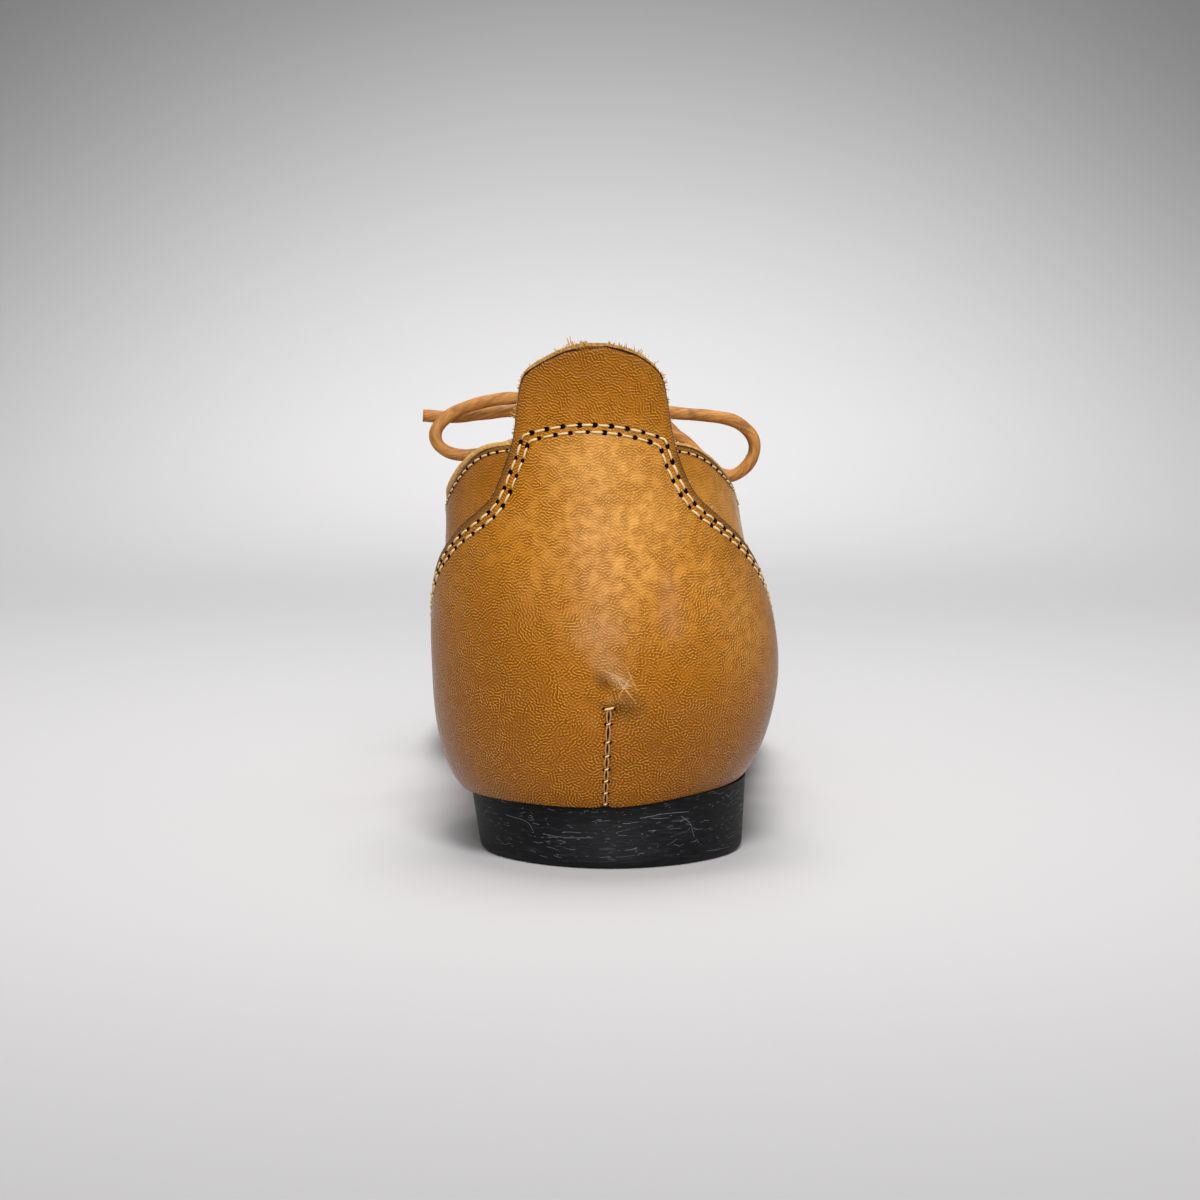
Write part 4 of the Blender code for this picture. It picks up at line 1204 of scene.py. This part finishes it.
# Each stitch: how far along the pitch, how high over the groove's bottom, and its share of the radius
THREAD_ARCH = [
    (0.02, -0.30, 0.6), (0.14, 0.08, 0.95), (0.34, 0.24, 1.0),
    (0.58, 0.24, 1.0), (0.70, 0.02, 0.9), (0.76, -0.35, 0.6),
]
THREAD_SIDES = 7
STITCH_STRAY, STITCH_GIRTHS, HOLE_SIZES = (-0.05, 0.05), (0.85, 1.12), (0.75, 1.1)
HOLE_PLACE, HOLE_LONG, HOLE_WIDE, HOLE_SUNK = 0.88, 0.68, 0.55, 0.08
HOLE_CORNERS = 10
STRAND_RADIUS, STRAND_SUNK, STRAND_BOW = 0.18, 0.60, 0.30
STRAND_APART, STRAND_SPREAD = 0.08, 0.28  # out from the dart at a cross stitch, and the bow beyond that
SLIT_RADIUS, SLIT_SUNK = 0.16, 0.52
# Across the dart, the bar on top and the small stitches: half the length, and the thread's radius
DART_BAR, DART_STITCH = (0.80, 0.24), (0.38, 0.17)
DART_STITCH_BOW, DART_STITCH_SLANT = 0.33, 0.006
DART_HOLE_OUT, DART_HOLE = 0.15, (0.28, 0.34, 0.30)  # past a stitch's end; its size and how deep it lies
UPWARD, BACKWARD = np.array([0.0, 0.0, 1.0]), np.array([0.0, -1.0, 0.0])


def hole_disc(s, v, layer, forward, long, wide, sunk):
    """A dark oval in the leather, long along forward: painted shade for the inside of a hole."""
    out = outward(s, v, layer)
    sideways = np.cross(out, forward)
    turns = np.linspace(0.0, 2.0 * math.pi, HOLE_CORNERS, endpoint=False)[:, None]
    oval = long * np.cos(turns) * forward + wide * np.sin(turns) * sideways
    return skin(s, v, layer) - out * (sunk * MM) + oval * MM, [list(range(HOLE_CORNERS))]


def stitch_row(line, layer, pitch, rng, threads, hole_shades, size=1.0):
    """Stitches along a line of (s, v): a bowed thread, then a dark hole of painted shade, for each pitch."""
    reached = reached_along(on_skin(line, layer)) / MM
    count = max(1, round(reached[-1] / pitch))
    step = reached[-1] / count

    def at(distance):
        return np.interp(distance, reached, line[:, 0]), np.interp(distance, reached, line[:, 1])

    along, lift, girth = np.array(THREAD_ARCH).T
    for k in range(count):
        shift = rng.uniform(*STITCH_STRAY)
        s, v = at((k + along + shift) * step)
        out = outward(s, v, layer)
        thick = size * THREAD_RADIUS * rng.uniform(*STITCH_GIRTHS)
        points = skin(s, v, layer) + out * ((lift - GROOVE_DEPTH) * MM)[:, None]
        threads.append(tube_arrays(points, girth * thick * MM, THREAD_SIDES, out[0])[:2])
        middle = (k + HOLE_PLACE + shift) * step
        s, v = at(np.array([middle - 0.1, middle + 0.1]))
        forward = unit(np.diff(skin(s, v, layer), axis=0)[0])
        hole = size * rng.uniform(*HOLE_SIZES)
        hole_shades.append(hole_disc(s[0], v[0], layer, forward, HOLE_LONG * hole, HOLE_WIDE * hole, HOLE_SUNK))


def make_dart(threads, strands, hole_shades):
    """The short seam up the heel: pairs of bowed strands between small cross stitches."""

    def at(across, v, lift):
        s = DART_S + across / SECTION_MM
        return skin(s, v, COUNTER_OUT) + outward(s, v, COUNTER_OUT) * (np.asarray(lift) * MM)[..., None]

    t = np.linspace(0.0, 1.0, 7)
    bow = np.sin(t * math.pi)
    for top, foot in zip(DART_NODES, DART_NODES[1:]):
        for side in (-1.0, 1.0):
            across = side * (STRAND_APART + STRAND_SPREAD * bow)
            points = at(across, top + (foot - top) * t, STRAND_BOW * bow - STRAND_SUNK)
            strands.append(tube_arrays(points, STRAND_RADIUS * MM, THREAD_SIDES, BACKWARD)[:2])
    # A dark tube sunk in the dart's slit: painted shade
    slit = at(np.zeros(24), np.linspace(DART_NODES[0], DART_NODES[-1], 24), np.full(24, -SLIT_SUNK))
    hole_shades.append(tube_arrays(slit, SLIT_RADIUS * MM, 6, BACKWARD)[:2])
    for v in DART_NODES:
        half, radius = DART_BAR if v == DART_NODES[0] else DART_STITCH
        across = np.linspace(-1.0, 1.0, 7)
        points = at(half * across, v + DART_STITCH_SLANT * across, DART_STITCH_BOW * bow - SLIT_SUNK)
        threads.append(tube_arrays(points, radius * MM, THREAD_SIDES, UPWARD)[:2])
        for side in (-1.0, 1.0):
            s = DART_S + side * (half + DART_HOLE_OUT) / SECTION_MM
            hole_shades.append(hole_disc(s, v, COUNTER_OUT, UPWARD, *DART_HOLE))


def make_stitches():
    rng = np.random.default_rng(7)
    threads, strands, hole_shades = [], [], []
    for line in counter_rows():
        stitch_row(line, COUNTER_OUT, STITCH_PITCH, rng, threads, hole_shades)
    for side in (-1, 1):
        stitch_row(quarter_row(side), QUARTER_OUT, COLLAR_PITCH, rng, threads, hole_shades, COLLAR_STITCH_SIZE)
    make_dart(threads, strands, hole_shades)
    piece_of(joined("stitches", threads, thread_look), "upper_leather")
    piece_of(joined("dart_strands", strands, strand_look), "upper_leather")
    piece_of(joined("stitch_hole_shades", hole_shades, hole_shade_look), "upper_leather")


make_stitches()

# Loose fibres along the raw edges

FIBRE_ROOT = 0.3  # how deep a fibre starts inside the leather
FIBRE_RADII, FIBRE_TAPER = (0.11, 0.21), 0.6
FIBRE_STRAY, FIBRE_CURL, FIBRE_BAND = 0.45, 0.8, 1.6
TAB_FROM_V, TAB_FIBRES_OUT = 2.02, 0.75  # the tab's foot, and how far past its edge the fibres start
TAB_FIBRES, TAB_FIBRE_LENGTHS = 520, (0.30, 0.80)  # here and below, lengths are roots of millimetres
TUFT_FIBRES, TUFT_LENGTHS = 3, (0.95, 1.1)
TUFT_S, TUFT_HALF, TUFT_FROM_V = -0.17, 0.04, 2.3
COLLAR_FIBRES = ((-1, 130, 0.75), (1, 90, 0.85))  # side, count, and the section where they start
COLLAR_FIBRES_END, COLLAR_FIBRE_LENGTHS = 3.6, (0.30, 0.62)
SEAM_FIBRES, SEAM_FIBRES_FROM_V, SEAM_FIBRE_LENGTHS = 30, 1.3, (0.3, 0.6)


def fibres_along(line, layer, count, lengths, rng, parts):
    """Fine curled fibres that stand out from a line of (s, v) at random places, away from the leather."""
    dense = on_skin(line, layer)
    out = outward(line[:, 0], line[:, 1], layer)
    away = unit(np.cross(out, unit(np.gradient(dense, axis=0))))
    root = FIBRE_ROOT * MM
    t = np.linspace(0.0, 1.0, 5)[:, None]
    for k in rng.integers(0, len(line), count):
        length = rng.uniform(*lengths) ** 2 * MM
        lean = unit(away[k] + rng.normal(0.0, FIBRE_STRAY, 3))
        curl = rng.normal(0.0, FIBRE_CURL, 3)
        base = dense[k] - out[k] * rng.uniform(0.0, FIBRE_BAND) * MM - away[k] * root
        points = base + lean * t * (length + root) + curl * length * t * t
        radii = rng.uniform(*FIBRE_RADII) * MM * (1.0 - FIBRE_TAPER * t[:, 0])
        parts.append(tube_arrays(points, radii, 4, out[k])[:2])


def make_fibres():
    rng = np.random.default_rng(11)
    parts = []
    widened = offset_line(counter_outline(TAB_FROM_V), TAB_FIBRES_OUT, COUNTER_OUT)
    fibres_along(widened, COUNTER_IN, TAB_FIBRES, TAB_FIBRE_LENGTHS, rng, parts)
    tuft = widened[(np.abs(widened[:, 0] - TUFT_S) < TUFT_HALF) & (widened[:, 1] > TUFT_FROM_V)]
    fibres_along(tuft, COUNTER_IN, TUFT_FIBRES, TUFT_LENGTHS, rng, parts)
    for side, count, from_q in COLLAR_FIBRES:
        q = np.linspace(from_q, COLLAR_FIBRES_END, 120)
        collar = np.stack([side * q, collar_v(q)], axis=1)
        fibres_along(collar[::side], 0.0, count, COLLAR_FIBRE_LENGTHS, rng, parts)
        seam = counter_edge(side, np.linspace(SEAM_FIBRES_FROM_V, TAB_FROM_V, 80))
        fibres_along(seam[::-side], COUNTER_OUT, SEAM_FIBRES, SEAM_FIBRE_LENGTHS, rng, parts)
    piece_of(joined("loose_fibres", parts, fibre_look), "upper_leather")


make_fibres()

# Scratches on the heel of the sole

SCRATCH_LIFT = 0.04
SCRATCH_COUNT = 420
SCRATCH_REACH = 2.4  # how many sections round the heel they lie
SCRATCH_BETWEEN, SCRATCH_ENDS = (0.03, 0.95), (0.02, 0.97)  # shares of the way down
SCRATCH_LENGTH, SCRATCH_LEAST, SCRATCH_SLANT, SCRATCH_BOW = 0.04, 0.006, 0.35, 0.008
LONG_SCRATCH_WIDTH, SCRATCH_WIDTHS = 0.07, (0.03, 0.075)
LONG_SCRATCHES = [
    [(0.27, 0.23), (0.50, 0.21), (0.75, 0.25)],
    [(0.67, 0.30), (0.76, 0.45), (0.80, 0.68)],
    [(-0.62, 0.55), (-0.40, 0.58), (-0.15, 0.56)],
    [(-1.05, 0.30), (-0.80, 0.36), (-0.72, 0.52)],
]


def scratch(route, width, parts):
    """A thin pale ribbon on the sole's side; route is a list of (s, share of the way down)."""
    line = route_points(route, 6)
    points = sole_side(line[:, 0], line[:, 1])
    forward = unit(np.gradient(points, axis=0))
    out = unit(points - sole_top(line[:, 0], 0.0))
    out = unit(out - forward * np.einsum("ij,ij->i", out, forward)[:, None])
    across = np.cross(forward, out) * width / 2.0 * MM
    middle = points + out * SCRATCH_LIFT * MM
    count = len(points)
    faces = [[k, k + 1, count + k + 1, count + k] for k in range(count - 1)]
    parts.append((np.concatenate([middle - across, middle + across]), faces))


def make_scratches():
    rng = np.random.default_rng(5)
    parts = []
    for route in LONG_SCRATCHES:
        scratch(route, LONG_SCRATCH_WIDTH, parts)
    for _ in range(SCRATCH_COUNT):
        s, down = rng.uniform(-SCRATCH_REACH, SCRATCH_REACH), rng.uniform(*SCRATCH_BETWEEN)
        length = rng.exponential(SCRATCH_LENGTH) + SCRATCH_LEAST
        drop = np.clip(down + rng.normal(0.0, SCRATCH_SLANT) * length, *SCRATCH_ENDS)
        middle = (s + length / 2, (down + drop) / 2 + rng.normal(0.0, SCRATCH_BOW))
        scratch([(s, down), middle, (s + length, drop)], rng.uniform(*SCRATCH_WIDTHS), parts)
    piece_of(joined("sole_scratches", parts, plain("scratch", (0.21, 0.21, 0.22))), "sole_rubber")


make_scratches()
